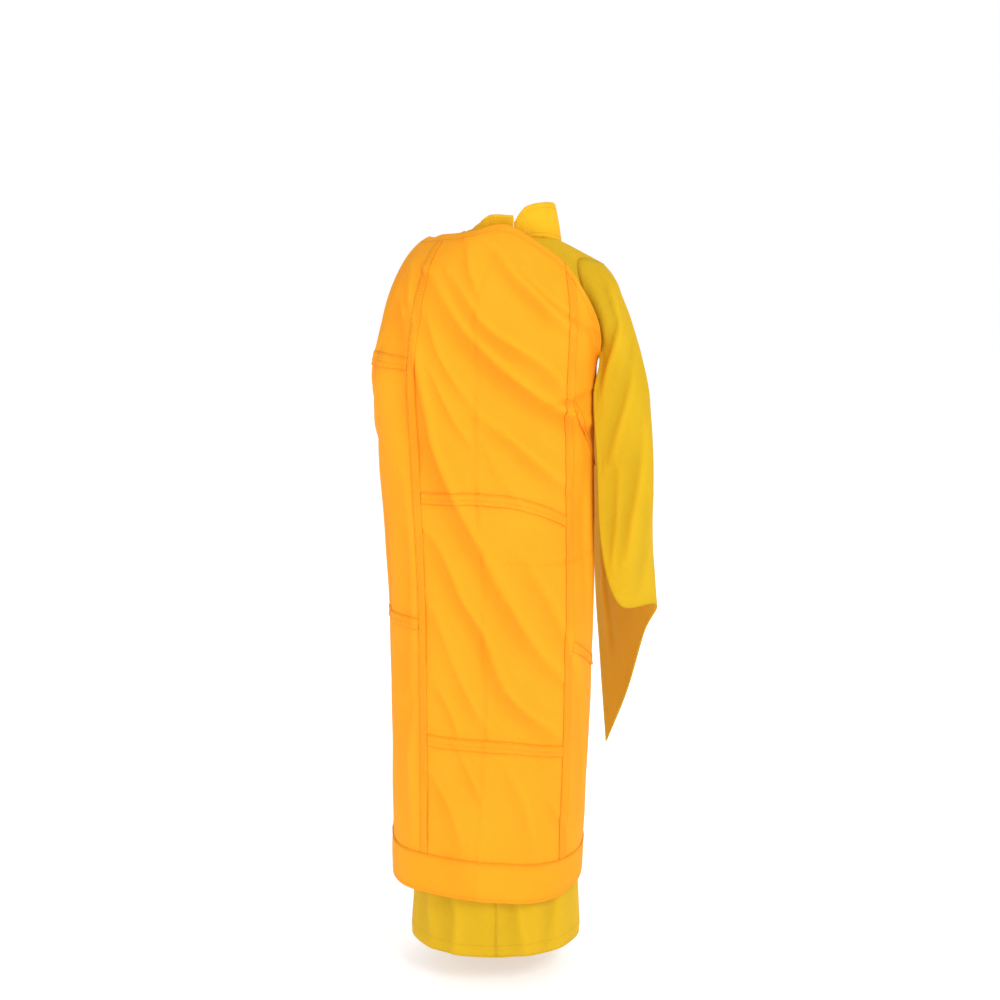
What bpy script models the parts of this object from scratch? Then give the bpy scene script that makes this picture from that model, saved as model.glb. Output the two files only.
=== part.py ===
"""Worn Buddhist monk robe: a wide-sleeved crossed-collar robe under a patched seven-column mantle.

The wearer faces -Y with +Z up and the left hand at +X. The origin is where the shoulders carry the
cloth. Heights in the tables are measured from the floor that the wearer stands on.
"""
import math

import bpy
from mathutils import Vector

SHOULDER_HEIGHT = 1.440
WALL = 0.0012
SEAM_GAP = 0.0005
UNDERARM_GAP = 0.0015
NECK_RADIUS = 0.11
COLUMN_GAP = 0.0020
SKIN_GAP = 0.0005
DIAGONAL_CHOICE = 1.03
COLLECTION = "buddhist_monk_robe"

# Robe: one section a row, from the hem to the armpit.
ARMPIT_HEIGHT = 1.275
ROBE_SQUARENESS = 2.3
# Columns: height, centre_x, half_width, back, front.
ROBE_SECTIONS = (
    (0.070, 0.019, 0.171, 0.160, 0.150),
    (0.200, 0.017, 0.164, 0.158, 0.148),
    (0.500, 0.010, 0.158, 0.148, 0.140),
    (0.800, 0.004, 0.157, 0.135, 0.130),
    (1.050, 0.000, 0.157, 0.116, 0.120),
    (1.275, 0.000, 0.164, 0.104, 0.104),
)
# Robe: the neck and shoulder line, by the angle round the body from the wearer's left.
# Columns: angle, x, y, height.
YOKE_LINE = (
    (-40.0, 0.084, -0.026, 1.448),
    (-12.0, 0.174, -0.009, 1.4138),
    (0.0, 0.187, -0.003, 1.4066),
    (12.0, 0.174, 0.003, 1.4138),
    (40.0, 0.084, 0.018, 1.456),
    (65.0, 0.046, 0.050, 1.458),
    (90.0, 0.000, 0.062, 1.458),
)
ARMHOLE_ANGLE = 30.0
ROBE_ROWS_BODY = 11
ROBE_ROWS_YOKE = 5
ROBE_BACK_CELLS = 6
ROBE_FRONT_CELLS = 8
# Fronts: the angle of each crossing edge, by the share of the way from the hem to the shoulder.
FRONT_LAP = 0.008
# Columns: share, left_angle, right_angle.
FRONT_EDGES = (
    (0.00, -138.0, -138.0),
    (0.45, -138.0, -138.0),
    (0.55, -128.0, -118.0),
    (0.65, -108.0, -92.0),
    (0.78, -82.0, -72.0),
    (1.00, -40.0, -40.0),
)

# Collar: one station a row, the seam edge and the free edge of the standing band.
# Columns: seam_x, seam_y, seam_height, free_x, free_y, free_height.
COLLAR_RIGHT = (
    (-0.0165, 0.0602, 1.4598, -0.0165, 0.064, 1.486),
    (-0.042, 0.0525, 1.4598, -0.037, 0.060, 1.513),
    (-0.074, 0.040, 1.4598, -0.068, 0.045, 1.522),
    (-0.104, 0.010, 1.454, -0.093, 0.012, 1.519),
    (-0.104, -0.030, 1.446, -0.086, -0.026, 1.498),
    (-0.092, -0.066, 1.424, -0.070, -0.063, 1.454),
    (-0.076, -0.088, 1.396, -0.050, -0.086, 1.426),
)
COLLAR_LEFT = (
    (-0.0155, 0.0603, 1.4598, -0.0155, 0.064, 1.498),
    (0.016, 0.0595, 1.4598, 0.016, 0.064, 1.500),
    (0.0327, 0.0564, 1.4598, 0.032, 0.0605, 1.497),
    (0.050, 0.0495, 1.4598, 0.047, 0.052, 1.484),
    (0.0694, 0.0363, 1.4598, 0.061, 0.036, 1.472),
    (0.086, 0.018, 1.459, 0.072, 0.014, 1.467),
    (0.098, -0.032, 1.453, 0.076, -0.031, 1.466),
    (0.090, -0.072, 1.424, 0.065, -0.074, 1.452),
    (0.068, -0.096, 1.384, 0.038, -0.098, 1.412),
    (0.016, -0.115, 1.300, -0.020, -0.114, 1.324),
    (-0.022, -0.118, 1.248, -0.060, -0.112, 1.270),
)
COLLAR_CELLS = 14

# Sleeves: one station a row from the armhole to the cuff. facing is the plan angle of the outer
# side, top is the fold along the arm, the mids are the hanging sheets and seam is the lower seam.
ARM_OUT = {-1: 0.014, 1: 0.010}
ARM_BACK = {-1: 0.034, 1: 0.022}
ARM_IN = {-1: 0.050, 1: 0.040}
ARM_DROP = 0.046
# Columns: along, facing, top, outer_mid, inner_mid, seam.
SLEEVE_RIGHT = (
    (0.07, 84.0, (0.206, -0.001, 1.384), (0.203, 0.066, 1.300), (0.197, -0.052, 1.295), (0.1855, 0.025, 1.232)),
    (0.12, 82.0, (0.216, 0.002, 1.358), (0.217, 0.071, 1.250), (0.204, -0.046, 1.244), (0.178, 0.045, 1.155)),
    (0.20, 78.0, (0.231, 0.006, 1.315), (0.233, 0.078, 1.180), (0.211, -0.036, 1.170), (0.175, 0.060, 1.050)),
    (0.38, 70.0, (0.253, 0.020, 1.225), (0.258, 0.088, 1.010), (0.218, -0.034, 1.000), (0.187, 0.062, 0.860)),
    (0.52, 66.0, (0.263, 0.014, 1.160), (0.277, 0.078, 0.930), (0.228, -0.040, 0.930), (0.224, 0.060, 0.752)),
    (0.64, 34.0, (0.262, -0.040, 1.112), (0.284, 0.018, 0.930), (0.236, -0.076, 0.920), (0.297, 0.020, 0.745)),
    (0.76, 6.0, (0.263, -0.135, 1.106), (0.287, -0.105, 0.880), (0.221, -0.150, 0.870), (0.283, -0.085, 0.660)),
    (0.88, -2.0, (0.252, -0.235, 1.114), (0.273, -0.215, 0.800), (0.207, -0.235, 0.790), (0.258, -0.190, 0.505)),
    (1.00, -4.0, (0.240, -0.335, 1.126), (0.258, -0.330, 0.745), (0.196, -0.318, 0.745), (0.222, -0.285, 0.362)),
)
SLEEVE_LEFT = (
    (0.07, 84.0, (0.196, -0.002, 1.382), (0.196, 0.052, 1.310), (0.192, -0.050, 1.300), (0.189, 0.006, 1.240)),
    (0.20, 78.0, (0.212, 0.000, 1.314), (0.212, 0.044, 1.255), (0.199, -0.042, 1.245), (0.192, 0.012, 1.205)),
    (0.38, 70.0, (0.223, 0.004, 1.226), (0.216, 0.050, 1.150), (0.197, -0.036, 1.150), (0.193, 0.010, 1.110)),
    (0.52, 66.0, (0.224, 0.000, 1.166), (0.212, 0.050, 0.980), (0.194, -0.040, 0.980), (0.197, 0.036, 0.840)),
    (0.64, 34.0, (0.221, -0.046, 1.116), (0.209, 0.000, 0.930), (0.191, -0.072, 0.920), (0.203, 0.004, 0.745)),
    (0.76, 8.0, (0.210, -0.130, 1.104), (0.205, -0.095, 0.880), (0.184, -0.135, 0.870), (0.198, -0.080, 0.670)),
    (0.88, -2.0, (0.194, -0.210, 1.108), (0.190, -0.182, 0.800), (0.168, -0.205, 0.790), (0.188, -0.160, 0.520)),
    (1.00, -4.0, (0.166, -0.276, 1.116), (0.166, -0.262, 0.750), (0.138, -0.268, 0.745), (0.152, -0.234, 0.395)),
)
SLEEVE_CELLS_ALONG = 14
SLEEVE_CELLS_DOWN = 8

# Mantle: the cloth's length round the body and its drop, in columns, leaf bands and borders.
MANTLE_DROP = 1.290
COLUMN_WIDTH = 0.285
END_BORDER = 0.055
TOP_TURN = 0.030
HEM_BORDER = 0.080
LEAF_WIDTH = 0.022
COLUMN_NAMES = ("outer_end", "left_arm", "back", "right_side", "front_right", "front_left", "inner_end")
# Mantle: one section a row. outer is the layer over the left arm, inner the one that lies under it.
# Columns: height, left_outer, left_inner, right, back, front, front_outer.
MANTLE_SECTIONS = (
    (0.190, 0.224, 0.196, 0.154, 0.174, 0.166, 0.330),
    (0.500, 0.224, 0.182, 0.167, 0.163, 0.154, 0.345),
    (0.800, 0.227, 0.175, 0.175, 0.149, 0.144, 0.360),
    (1.050, 0.244, 0.172, 0.172, 0.132, 0.140, 0.365),
    (1.180, 0.254, 0.176, 0.174, 0.124, 0.134, 0.360),
    (1.300, 0.244, 0.182, 0.182, 0.124, 0.130, 0.330),
)
BACK_SQUARENESS = 2.3
ARM_SQUARENESS = 3.0
FOREARM_SQUARENESS = 3.0
INNER_BACK_STEP = 0.013
# Slope, in degrees from level, at which the mantle leaves its upper edge, less on a wide rounding.
FIRST_TURN = 46.0
FIRST_TURN_FALL = 130.0
# Mantle: one station a row along the cloth. angle is round the body from the wearer's left, top is
# the upper edge, rounding the drop over which the cloth turns down, hem the height of the hem.
# Columns: along, angle, top_x, top_y, top_height, rounding, hem.
MANTLE_STATIONS = (
    (0.000, -52.0, 0.080, -0.146, 1.362, 0.200, 0.215),
    (0.140, -36.0, 0.106, -0.122, 1.400, 0.220, 0.212),
    (0.280, -19.0, 0.130, -0.086, 1.432, 0.240, 0.208),
    (0.400, -3.0, 0.146, -0.042, 1.456, 0.260, 0.205),
    (0.500, 15.0, 0.132, -0.014, 1.456, 0.250, 0.203),
    (0.625, 52.0, 0.114, 0.022, 1.462, 0.230, 0.203),
    (0.720, 71.0, 0.056, 0.074, 1.470, 0.210, 0.198),
    (0.790, 88.0, 0.000, 0.086, 1.482, 0.210, 0.190),
    (0.850, 109.0, -0.052, 0.086, 1.455, 0.190, 0.186),
    (0.910, 129.0, -0.110, 0.086, 1.412, 0.140, 0.188),
    (0.980, 146.0, -0.156, 0.084, 1.345, 0.060, 0.195),
    (1.030, 158.0, -0.178, 0.070, 1.290, 0.040, 0.200),
    (1.075, 171.0, -0.182, 0.036, 1.242, 0.025, 0.203),
    (1.110, 188.0, -0.175, -0.004, 1.226, 0.012, 0.205),
    (1.150, 200.0, -0.167, -0.050, 1.226, 0.012, 0.207),
    (1.195, 216.0, -0.147, -0.090, 1.234, 0.015, 0.210),
    (1.300, 238.0, -0.098, -0.126, 1.252, 0.020, 0.212),
    (1.400, 256.0, -0.046, -0.142, 1.288, 0.030, 0.214),
    (1.480, 270.0, 0.000, -0.144, 1.322, 0.045, 0.216),
    (1.580, 287.0, 0.052, -0.136, 1.350, 0.060, 0.218),
    (1.680, 306.0, 0.104, -0.118, 1.350, 0.060, 0.220),
    (1.765, 322.0, 0.142, -0.096, 1.308, 0.050, 0.224),
    (1.830, 338.0, 0.163, -0.068, 1.262, 0.030, 0.228),
    (1.900, 356.0, 0.174, -0.022, 1.228, 0.015, 0.232),
    (1.980, 372.0, 0.173, 0.022, 1.216, 0.015, 0.240),
    (2.040, 388.0, 0.164, 0.054, 1.206, 0.015, 0.246),
    (2.105, 402.0, 0.148, 0.078, 1.196, 0.015, 0.252),
)
MANTLE_CELLS = {"left_arm": 8, "back": 12, "right_side": 9}
MANTLE_CELLS_OTHER = 6
MANTLE_ROWS = 25
# Mantle: where each column's two cross seams lie, as shares of the drop.
SHORT_TOP = (0.195, 0.578)
SHORT_FOOT = (0.388, 0.752)
# Largest folds of the mantle's back: depth, half width, then the trough's points (x, height).
# Columns: depth, half_width, route.
BACK_FOLDS = (
    (0.0075, 0.025, ((0.170, 1.180), (0.160, 1.118), (0.143, 1.054), (0.103, 0.959), (0.042, 0.844),
                     (-0.004, 0.760), (-0.053, 0.682), (-0.086, 0.643))),
    (0.0070, 0.018, ((0.138, 1.372), (0.101, 1.309), (0.050, 1.235), (0.009, 1.198), (-0.033, 1.166),
                     (-0.083, 1.139), (-0.133, 1.124))),
    (0.0060, 0.020, ((0.142, 0.890), (0.117, 0.844), (0.091, 0.780), (0.053, 0.721), (0.010, 0.609),
                     (-0.029, 0.563), (-0.081, 0.523))),
    (0.0050, 0.017, ((0.101, 1.376), (0.040, 1.290), (-0.009, 1.253), (-0.059, 1.222), (-0.088, 1.198))),
    (0.0045, 0.018, ((0.042, 1.118), (-0.004, 1.080), (-0.046, 1.043), (-0.108, 0.990))),
)
# The front layer's folds fan from the right armpit and the left shoulder.
FRONT_FOLDS = (
    (0.0050, 0.022, ((-0.120, 1.190), (-0.060, 1.120), (0.010, 1.020), (0.070, 0.860))),
    (0.0050, 0.022, ((-0.110, 1.090), (-0.050, 0.960), (-0.010, 0.780), (0.010, 0.560))),
    (0.0050, 0.024, ((0.090, 1.300), (0.060, 1.180), (0.050, 1.040), (0.060, 0.880))),
)


def spline(rows, value):
    """Read a table of (position, numbers...) rows at a position, on a smooth curve through them."""
    last = len(rows) - 2
    span = 0
    while span < last and value > rows[span + 1][0]:
        span += 1
    low, high = rows[span], rows[span + 1]
    before = rows[max(span - 1, 0)]
    after = rows[min(span + 2, last + 1)]
    step = high[0] - low[0]
    share = min(max((value - low[0]) / step, 0.0), 1.0)
    result = []
    for column in range(1, len(low)):
        slope_low = (high[column] - before[column]) / (high[0] - before[0]) * step
        slope_high = (after[column] - low[column]) / (after[0] - low[0]) * step
        square = share * share
        cube = square * share
        result.append(
            (2 * cube - 3 * square + 1) * low[column]
            + (cube - 2 * square + share) * slope_low
            + (3 * square - 2 * cube) * high[column]
            + (cube - square) * slope_high
        )
    return result


def oval(angle, width, depth, squareness):
    """Point of a squared oval at an angle in degrees."""
    turn = math.radians(angle)
    power = 2.0 / squareness
    across = math.copysign(abs(math.cos(turn)) ** power, math.cos(turn))
    deep = math.copysign(abs(math.sin(turn)) ** power, math.sin(turn))
    return width * across, depth * deep


def place(x, y, height):
    """Point in the part's frame from a height above the floor."""
    return Vector((x, y, height - SHOULDER_HEIGHT))


def robe_ring(angle, height, lap=0.0):
    """Point of the robe's body below the armpits."""
    centre, width, back, front = spline(ROBE_SECTIONS, height)
    depth = back if math.sin(math.radians(angle)) > 0 else front
    x, y = oval(angle, width - lap, depth - lap, ROBE_SQUARENESS)
    return centre + x, y


def robe_point(angle, level, side=1, lap=0.0):
    """Point of the robe: level 0 is the hem, 1 the armpit and 2 the neck and shoulder line.

    The angle runs from the panel's own side seam, up to 90 at the back seam and down past the front.
    """
    around = angle if side > 0 else 180.0 - angle
    if level <= 1.0:
        height = ROBE_SECTIONS[0][0] + (ARMPIT_HEIGHT - ROBE_SECTIONS[0][0]) * level
        x, y = robe_ring(around, height, lap)
        return place(x, y, height)
    x, y = robe_ring(around, ARMPIT_HEIGHT, lap)
    line_x, line_y, line_h = spline(YOKE_LINE, angle)
    turn = math.radians(90.0 * (level - 1.0))
    inward = 1.0 - math.cos(turn)
    upward = math.sin(turn)
    line_y += lap if angle < 0.0 else -lap
    top = ARMPIT_HEIGHT + (line_h - lap - ARMPIT_HEIGHT) * upward
    return place(x + (side * line_x - x) * inward, y + (line_y - y) * inward, top)


def armhole_angle(level):
    """Angle of the armhole's edge from the side, at a level above the armpit."""
    if level <= 1.0:
        return 0.0
    return ARMHOLE_ANGLE * math.sin(math.pi * min(level - 1.0, 1.0)) ** 0.8


def robe_levels():
    body = [row / ROBE_ROWS_BODY for row in range(ROBE_ROWS_BODY)]
    yoke = [1.0 + row / ROBE_ROWS_YOKE for row in range(ROBE_ROWS_YOKE)]
    return body + yoke + [1.995]


def mantle_ring(angle, height):
    """Point of the mantle's plan at a height. Past 270 degrees it is the layer under the left arm."""
    outer, inner, right, back, front, forearm = spline(MANTLE_SECTIONS, height)
    if angle < 0.0:
        return oval(angle, outer, forearm, FOREARM_SQUARENESS)
    if angle <= 90.0:
        return oval(angle, outer, back, ARM_SQUARENESS)
    if angle <= 180.0:
        return oval(angle, right, back, BACK_SQUARENESS)
    if angle <= 270.0:
        return oval(angle, right, front, BACK_SQUARENESS)
    if angle <= 360.0:
        return oval(angle, inner, front, BACK_SQUARENESS)
    return oval(angle, inner, back - INNER_BACK_STEP, BACK_SQUARENESS)


def route_distance(route, x, height):
    """Distance in the (x, height) view from a fold's route, and how far along it the foot lies."""
    best = None
    for index in range(len(route) - 1):
        start_x, start_h = route[index]
        run_x = route[index + 1][0] - start_x
        run_h = route[index + 1][1] - start_h
        share = ((x - start_x) * run_x + (height - start_h) * run_h) / (run_x ** 2 + run_h ** 2)
        share = min(max(share, 0.0), 1.0)
        gap = math.hypot(x - start_x - share * run_x, height - start_h - share * run_h)
        if best is None or gap < best[0]:
            best = (gap, (index + share) / (len(route) - 1))
    return best


def fold_depth(folds, x, height):
    """How far the folds press the cloth in at a point."""
    total = 0.0
    for depth, half_width, route in folds:
        gap, along = route_distance(route, x, height)
        fade = math.sin(math.pi * (0.12 + 0.76 * along))
        total += depth * fade * math.exp(-((gap / half_width) ** 2))
    return total


def mantle_flat(along, down):
    """Point of the mantle without its folds. along is in metres, down runs 0 at the top to 1."""
    angle, top_x, top_y, top_h, rounding, hem = spline(MANTLE_STATIONS, along)
    turn_height = top_h - rounding
    ring_x, ring_y = mantle_ring(angle, turn_height)
    reach = math.hypot(ring_x - top_x, ring_y - top_y)
    arc = math.hypot(reach, rounding)
    share = arc / (arc + turn_height - hem)
    if down < share:
        first = math.radians(FIRST_TURN - FIRST_TURN_FALL * rounding)
        turn = first + (0.5 * math.pi - first) * down / share
        height = top_h - rounding * (1.0 - math.cos(turn) / math.cos(first))
        blend = (math.sin(turn) - math.sin(first)) / (1.0 - math.sin(first))
        ring_x, ring_y = mantle_ring(angle, height)
        return place(top_x + (ring_x - top_x) * blend, top_y + (ring_y - top_y) * blend, height)
    height = turn_height - (turn_height - hem) * (down - share) / (1.0 - share)
    ring_x, ring_y = mantle_ring(angle, height)
    return place(ring_x, ring_y, height)


def mantle_point(along, down):
    """Inner face of the mantle with its folds pressed in."""
    step = 0.004
    point = mantle_flat(along, down)
    across = mantle_flat(along + step, down) - mantle_flat(along - step, down)
    drop = mantle_flat(along, min(down + step, 1.0)) - mantle_flat(along, max(down - step, 0.0))
    height = point.z + SHOULDER_HEIGHT
    angle = spline(MANTLE_STATIONS, along)[0]
    pressed = 0.0
    if 5.0 < angle < 175.0:
        pressed = fold_depth(BACK_FOLDS, point.x, height)
    elif 190.0 < angle < 345.0:
        pressed = fold_depth(FRONT_FOLDS, point.x, height)
    return point - drop.cross(across).normalized() * pressed


def moved_out(grid, distance):
    """The same grid of points, moved out from the wearer along the cloth's own normals."""
    rows, cells = len(grid) - 1, len(grid[0]) - 1
    result = []
    for row in range(rows + 1):
        line = []
        for cell in range(cells + 1):
            down = grid[min(row + 1, rows)][cell] - grid[max(row - 1, 0)][cell]
            across = grid[row][min(cell + 1, cells)] - grid[row][max(cell - 1, 0)]
            line.append(grid[row][cell] + down.cross(across).normalized() * distance)
        result.append(line)
    return result


def make_material(name, colour, roughness):
    material = bpy.data.materials.new(name)
    material.use_nodes = True
    shader = material.node_tree.nodes["Principled BSDF"]
    shader.inputs["Base Color"].default_value = (*colour, 1.0)
    shader.inputs["Roughness"].default_value = roughness
    shader.inputs["Metallic"].default_value = 0.0
    return material


def add_object(name, mesh, colour, roughness=0.85):
    """Put a mesh in the part's collection with a material of its own."""
    mesh.materials.append(make_material(name, colour, roughness))
    piece = bpy.data.objects.new(name, mesh)
    bpy.data.collections[COLLECTION].objects.link(piece)
    return piece


def cloth(name, grid, colour, holes=(), flip=False):
    """Open sheet over a grid of points, given its wall by Solidify away from the wearer."""
    width = len(grid[0])
    points = [point for row in grid for point in row]
    faces = []
    for row in range(len(grid) - 1):
        for cell in range(width - 1):
            if (row, cell) in holes:
                continue
            corner = row * width + cell
            below, across, opposite = corner + width, corner + 1, corner + width + 1
            falling = (points[corner] - points[opposite]).length
            rising = (points[below] - points[across]).length
            if falling < DIAGONAL_CHOICE * rising:
                pair = ((corner, below, opposite), (corner, opposite, across))
            else:
                pair = ((corner, below, across), (across, below, opposite))
            faces += [face[::-1] if flip else face for face in pair]
    used = sorted({index for face in faces for index in face})
    order = {index: place_in_list for place_in_list, index in enumerate(used)}
    mesh = bpy.data.meshes.new(name)
    mesh.from_pydata([points[index] for index in used], [], [[order[i] for i in face] for face in faces])
    mesh.validate()
    mesh.shade_smooth()
    piece = add_object(name, mesh, colour)
    wall = piece.modifiers.new("wall", "SOLIDIFY")
    wall.thickness = WALL
    wall.offset = 1.0
    return piece


def add_robe_backs(colour):
    trim = math.degrees(0.5 * SEAM_GAP / NECK_RADIUS)
    for side, name in ((1, "robe_back_left"), (-1, "robe_back_right")):
        grid = []
        for level in robe_levels():
            edge = armhole_angle(level) + trim
            row = []
            for cell in range(ROBE_BACK_CELLS + 1):
                share = cell / ROBE_BACK_CELLS
                angle = 90.0 - trim + (edge - 90.0 + trim) * share
                row.append(robe_point(angle, level, side))
            grid.append(row)
        cloth(name, grid, colour, flip=side < 0)


def add_robe_fronts(colour):
    trim = math.degrees(0.5 * SEAM_GAP / NECK_RADIUS)
    for side, name, lap in ((1, "robe_front_left", 0.0), (-1, "robe_front_right", FRONT_LAP)):
        grid = []
        for level in robe_levels():
            start = -armhole_angle(level) - trim
            edge = spline(FRONT_EDGES, level / 2.0)[0 if side > 0 else 1]
            row = []
            for cell in range(ROBE_FRONT_CELLS + 1):
                share = cell / ROBE_FRONT_CELLS
                angle = start + (edge - start) * share
                inset = lap * min(1.0, 2.5 * share)
                row.append(robe_point(angle, level, side, inset))
            grid.append(row)
        cloth(name, grid, colour, flip=side < 0)


def add_collars(colour):
    for name, table, flip in (("collar_right", COLLAR_RIGHT, True), ("collar_left", COLLAR_LEFT, False)):
        rows = [(index, *row) for index, row in enumerate(table)]
        seam, middle, free = [], [], []
        for cell in range(COLLAR_CELLS + 1):
            numbers = spline(rows, cell / COLLAR_CELLS * (len(rows) - 1))
            low, high = place(*numbers[:3]), place(*numbers[3:])
            seam.append(low)
            middle.append((low + high) / 2)
            free.append(high)
        cloth(name, [seam, middle, free], colour, flip=flip)


def sleeve_sections(table, side, outer):
    """Rows of the sleeve's sheet: each station as a curve from the fold on top to the seam below."""
    downs = [cell / SLEEVE_CELLS_DOWN for cell in range(SLEEVE_CELLS_DOWN + 1)]
    root = []
    for down in downs:
        level = 2.0 - min(down, 0.999) * 0.98 - 0.008
        angle = max(armhole_angle(level), 0.6) * (1 if outer else -1)
        point = robe_point(angle, level) + Vector((0.0035, 0.0, 0.0))
        root.append(Vector((side * point.x, point.y, point.z)))
    sections = [(0.0, root)]
    for along, facing, top, outer_mid, inner_mid, seam in table:
        turn = math.radians(facing)
        behind = math.sin(turn)
        if outer:
            reach = ARM_OUT[side] + (ARM_BACK[side] - ARM_OUT[side]) * behind
        else:
            reach = -ARM_IN[side]
        middle = outer_mid if outer else inner_mid
        easing = 0.75 if outer else 0.3
        drop = min(ARM_DROP * (1.0 - easing * behind), 0.5 * (top[2] - middle[2]))
        arm = (top[0] + reach * math.cos(turn), top[1] + reach * math.sin(turn), top[2] - drop)
        fall = top[2] - seam[2]
        arm_share = 1.3 * drop / fall
        mid_share = (top[2] - middle[2]) / fall
        curve = [(0.0, *top), (arm_share, *arm), (mid_share, *middle), (1.0, *seam)]
        points = []
        for down in downs:
            x, y, height = spline(curve, down)
            points.append(place(side * x, y, height))
        sections.append((along, points))
    return sections


def add_sleeves(colour):
    for side, table, word in ((-1, SLEEVE_RIGHT, "right"), (1, SLEEVE_LEFT, "left")):
        facings = [(0.0, 90.0)] + [station[:2] for station in table]
        for outer, layer in ((True, "outer"), (False, "inner")):
            sections = sleeve_sections(table, side, outer)
            grid = []
            for cell in range(SLEEVE_CELLS_ALONG + 1):
                along = cell / SLEEVE_CELLS_ALONG
                row = []
                for down in range(SLEEVE_CELLS_DOWN + 1):
                    rows = [(position, *points[down]) for position, points in sections]
                    row.append(Vector(spline(rows, along)))
                grid.append(row)
            away = 0.5 if outer else -0.5
            for row, section in enumerate(grid):
                for index, gap in ((0, SEAM_GAP), (SLEEVE_CELLS_DOWN, UNDERARM_GAP)):
                    facing = math.radians(spline(facings, row / SLEEVE_CELLS_ALONG)[0])
                    push = Vector((side * math.cos(facing), math.sin(facing), 0.0)) * away * gap
                    section[index] = section[index] + push
            cloth(f"sleeve_{word}_{layer}", grid, colour, flip=(side < 0) == outer)


def column_lines(index):
    """Lengthwise grid lines of a column, with one at the leaf band's edge and at an end border."""
    start = END_BORDER + index * COLUMN_WIDTH
    end = start + COLUMN_WIDTH
    cells = MANTLE_CELLS.get(COLUMN_NAMES[index], MANTLE_CELLS_OTHER)
    lines = []
    if index == 0:
        lines += [0.0, END_BORDER / 2]
    first = start + LEAF_WIDTH
    body = [first + (end - first) * cell / cells for cell in range(cells + 1)]
    lines += [start] + body
    if index == len(COLUMN_NAMES) - 1:
        lines += [end + END_BORDER / 2, end + END_BORDER]
    lines[0] += COLUMN_GAP / 2
    if index < len(COLUMN_NAMES) - 1:
        lines[-1] -= COLUMN_GAP / 2
    return lines


def seam_levels(index):
    return SHORT_TOP if index % 2 else SHORT_FOOT


def row_lines(index):
    """Grid lines down a column, with lines at its borders and at the edges of its cross leaves."""
    lines = [row / MANTLE_ROWS for row in range(MANTLE_ROWS + 1)]
    wanted = [TOP_TURN / MANTLE_DROP, 1.0 - HEM_BORDER / MANTLE_DROP]
    for level in seam_levels(index):
        wanted += [level, level + LEAF_WIDTH / MANTLE_DROP]
    for level in wanted:
        nearest = min(range(1, MANTLE_ROWS), key=lambda row: abs(lines[row] - level))
        if lines[nearest] in wanted:
            nearest += 1
        lines[nearest] = level
    return lines, wanted


def column_grid(index):
    return [[mantle_point(along, down) for along in column_lines(index)] for down in row_lines(index)[0]]


def skin_grid(index):
    return moved_out(column_grid(index), WALL + SKIN_GAP)


def add_mantle_columns(colour):
    for index, name in enumerate(COLUMN_NAMES):
        cloth(f"mantle_{name}", column_grid(index), colour)


def trimmed(rows):
    """A skin's rows with its ends drawn back, so that it stays clear of the next skin."""
    share = 0.06
    first = [a.lerp(b, share) for a, b in zip(rows[0], rows[1])]
    last = [a.lerp(b, share) for a, b in zip(rows[-1], rows[-2])]
    return [first] + rows[1:-1] + [last]


def add_mantle_leaves(colour):
    """Each column's leaf band and its two cross leaves, one cut-out skin on the column."""
    for index, name in enumerate(COLUMN_NAMES):
        downs, marks = row_lines(index)
        first, last = downs.index(marks[0]), downs.index(marks[1])
        crossing = [downs.index(level) - first for level in marks[2::2]]
        skin = skin_grid(index)[first:last + 1]
        if index == 0:
            for number, row in enumerate(crossing):
                band = [[line[2].lerp(line[3], 0.04)] + line[3:] for line in skin[row:row + 2]]
                cloth(f"leaf_{name}_{number + 1}", band, colour)
            continue
        skin = trimmed(skin)
        holes = set()
        for row in range(len(skin) - 1):
            for cell in range(1, len(skin[0]) - 1):
                if row not in crossing:
                    holes.add((row, cell))
        cloth(f"leaf_{name}", skin, colour, holes)


def add_mantle_borders(colour):
    skins = [skin_grid(index) for index in range(len(COLUMN_NAMES))]
    marks = [row_lines(index)[0].index(row_lines(index)[1][1]) for index in range(len(COLUMN_NAMES))]
    hem = [sum((skin[mark] for skin, mark in zip(skins, marks)), []), sum((skin[-1] for skin in skins), [])]
    cloth("border_hem", hem, colour)
    outer = trimmed([row[:3] for row in skins[0][1:marks[0] + 1]])
    cloth("border_outer_end", outer, colour)


def main():
    for old in list(bpy.data.objects):
        bpy.data.objects.remove(old, do_unlink=True)
    group = bpy.data.collections.new(COLLECTION)
    bpy.context.scene.collection.children.link(group)
    yellow = (0.82, 0.50, 0.010)
    orange = (1.0, 0.40, 0.010)
    add_robe_backs(yellow)
    add_robe_fronts(yellow)
    add_collars((1.0, 0.50, 0.012))
    add_sleeves(yellow)
    add_mantle_columns(orange)
    add_mantle_leaves((0.95, 0.36, 0.008))
    add_mantle_borders((0.95, 0.37, 0.008))


if __name__ == "__main__":
    main()
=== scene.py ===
"""Dressed look of a worn Buddhist monk robe: a wide-sleeved robe under a patched mantle.

The wearer faces -Y with +Z up and the left hand at +X. The origin is at shoulder height.
"""
import math

import bpy
import numpy as np
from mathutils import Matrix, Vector


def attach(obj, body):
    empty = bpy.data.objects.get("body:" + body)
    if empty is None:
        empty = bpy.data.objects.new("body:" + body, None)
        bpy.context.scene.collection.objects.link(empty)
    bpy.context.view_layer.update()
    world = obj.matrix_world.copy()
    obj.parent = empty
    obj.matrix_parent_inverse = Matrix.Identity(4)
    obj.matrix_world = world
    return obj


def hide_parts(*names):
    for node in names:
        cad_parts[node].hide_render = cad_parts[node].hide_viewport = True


bl_info = {
    "name": "Monk Robe",
    "version": (1, 0, 0),
    "blender": (4, 5, 0),
    "location": "View3D > Sidebar > Monk Robe",
    "description": "Builds the cloth, stitching and setting of a worn monk robe",
    "category": "Object",
}

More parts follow.
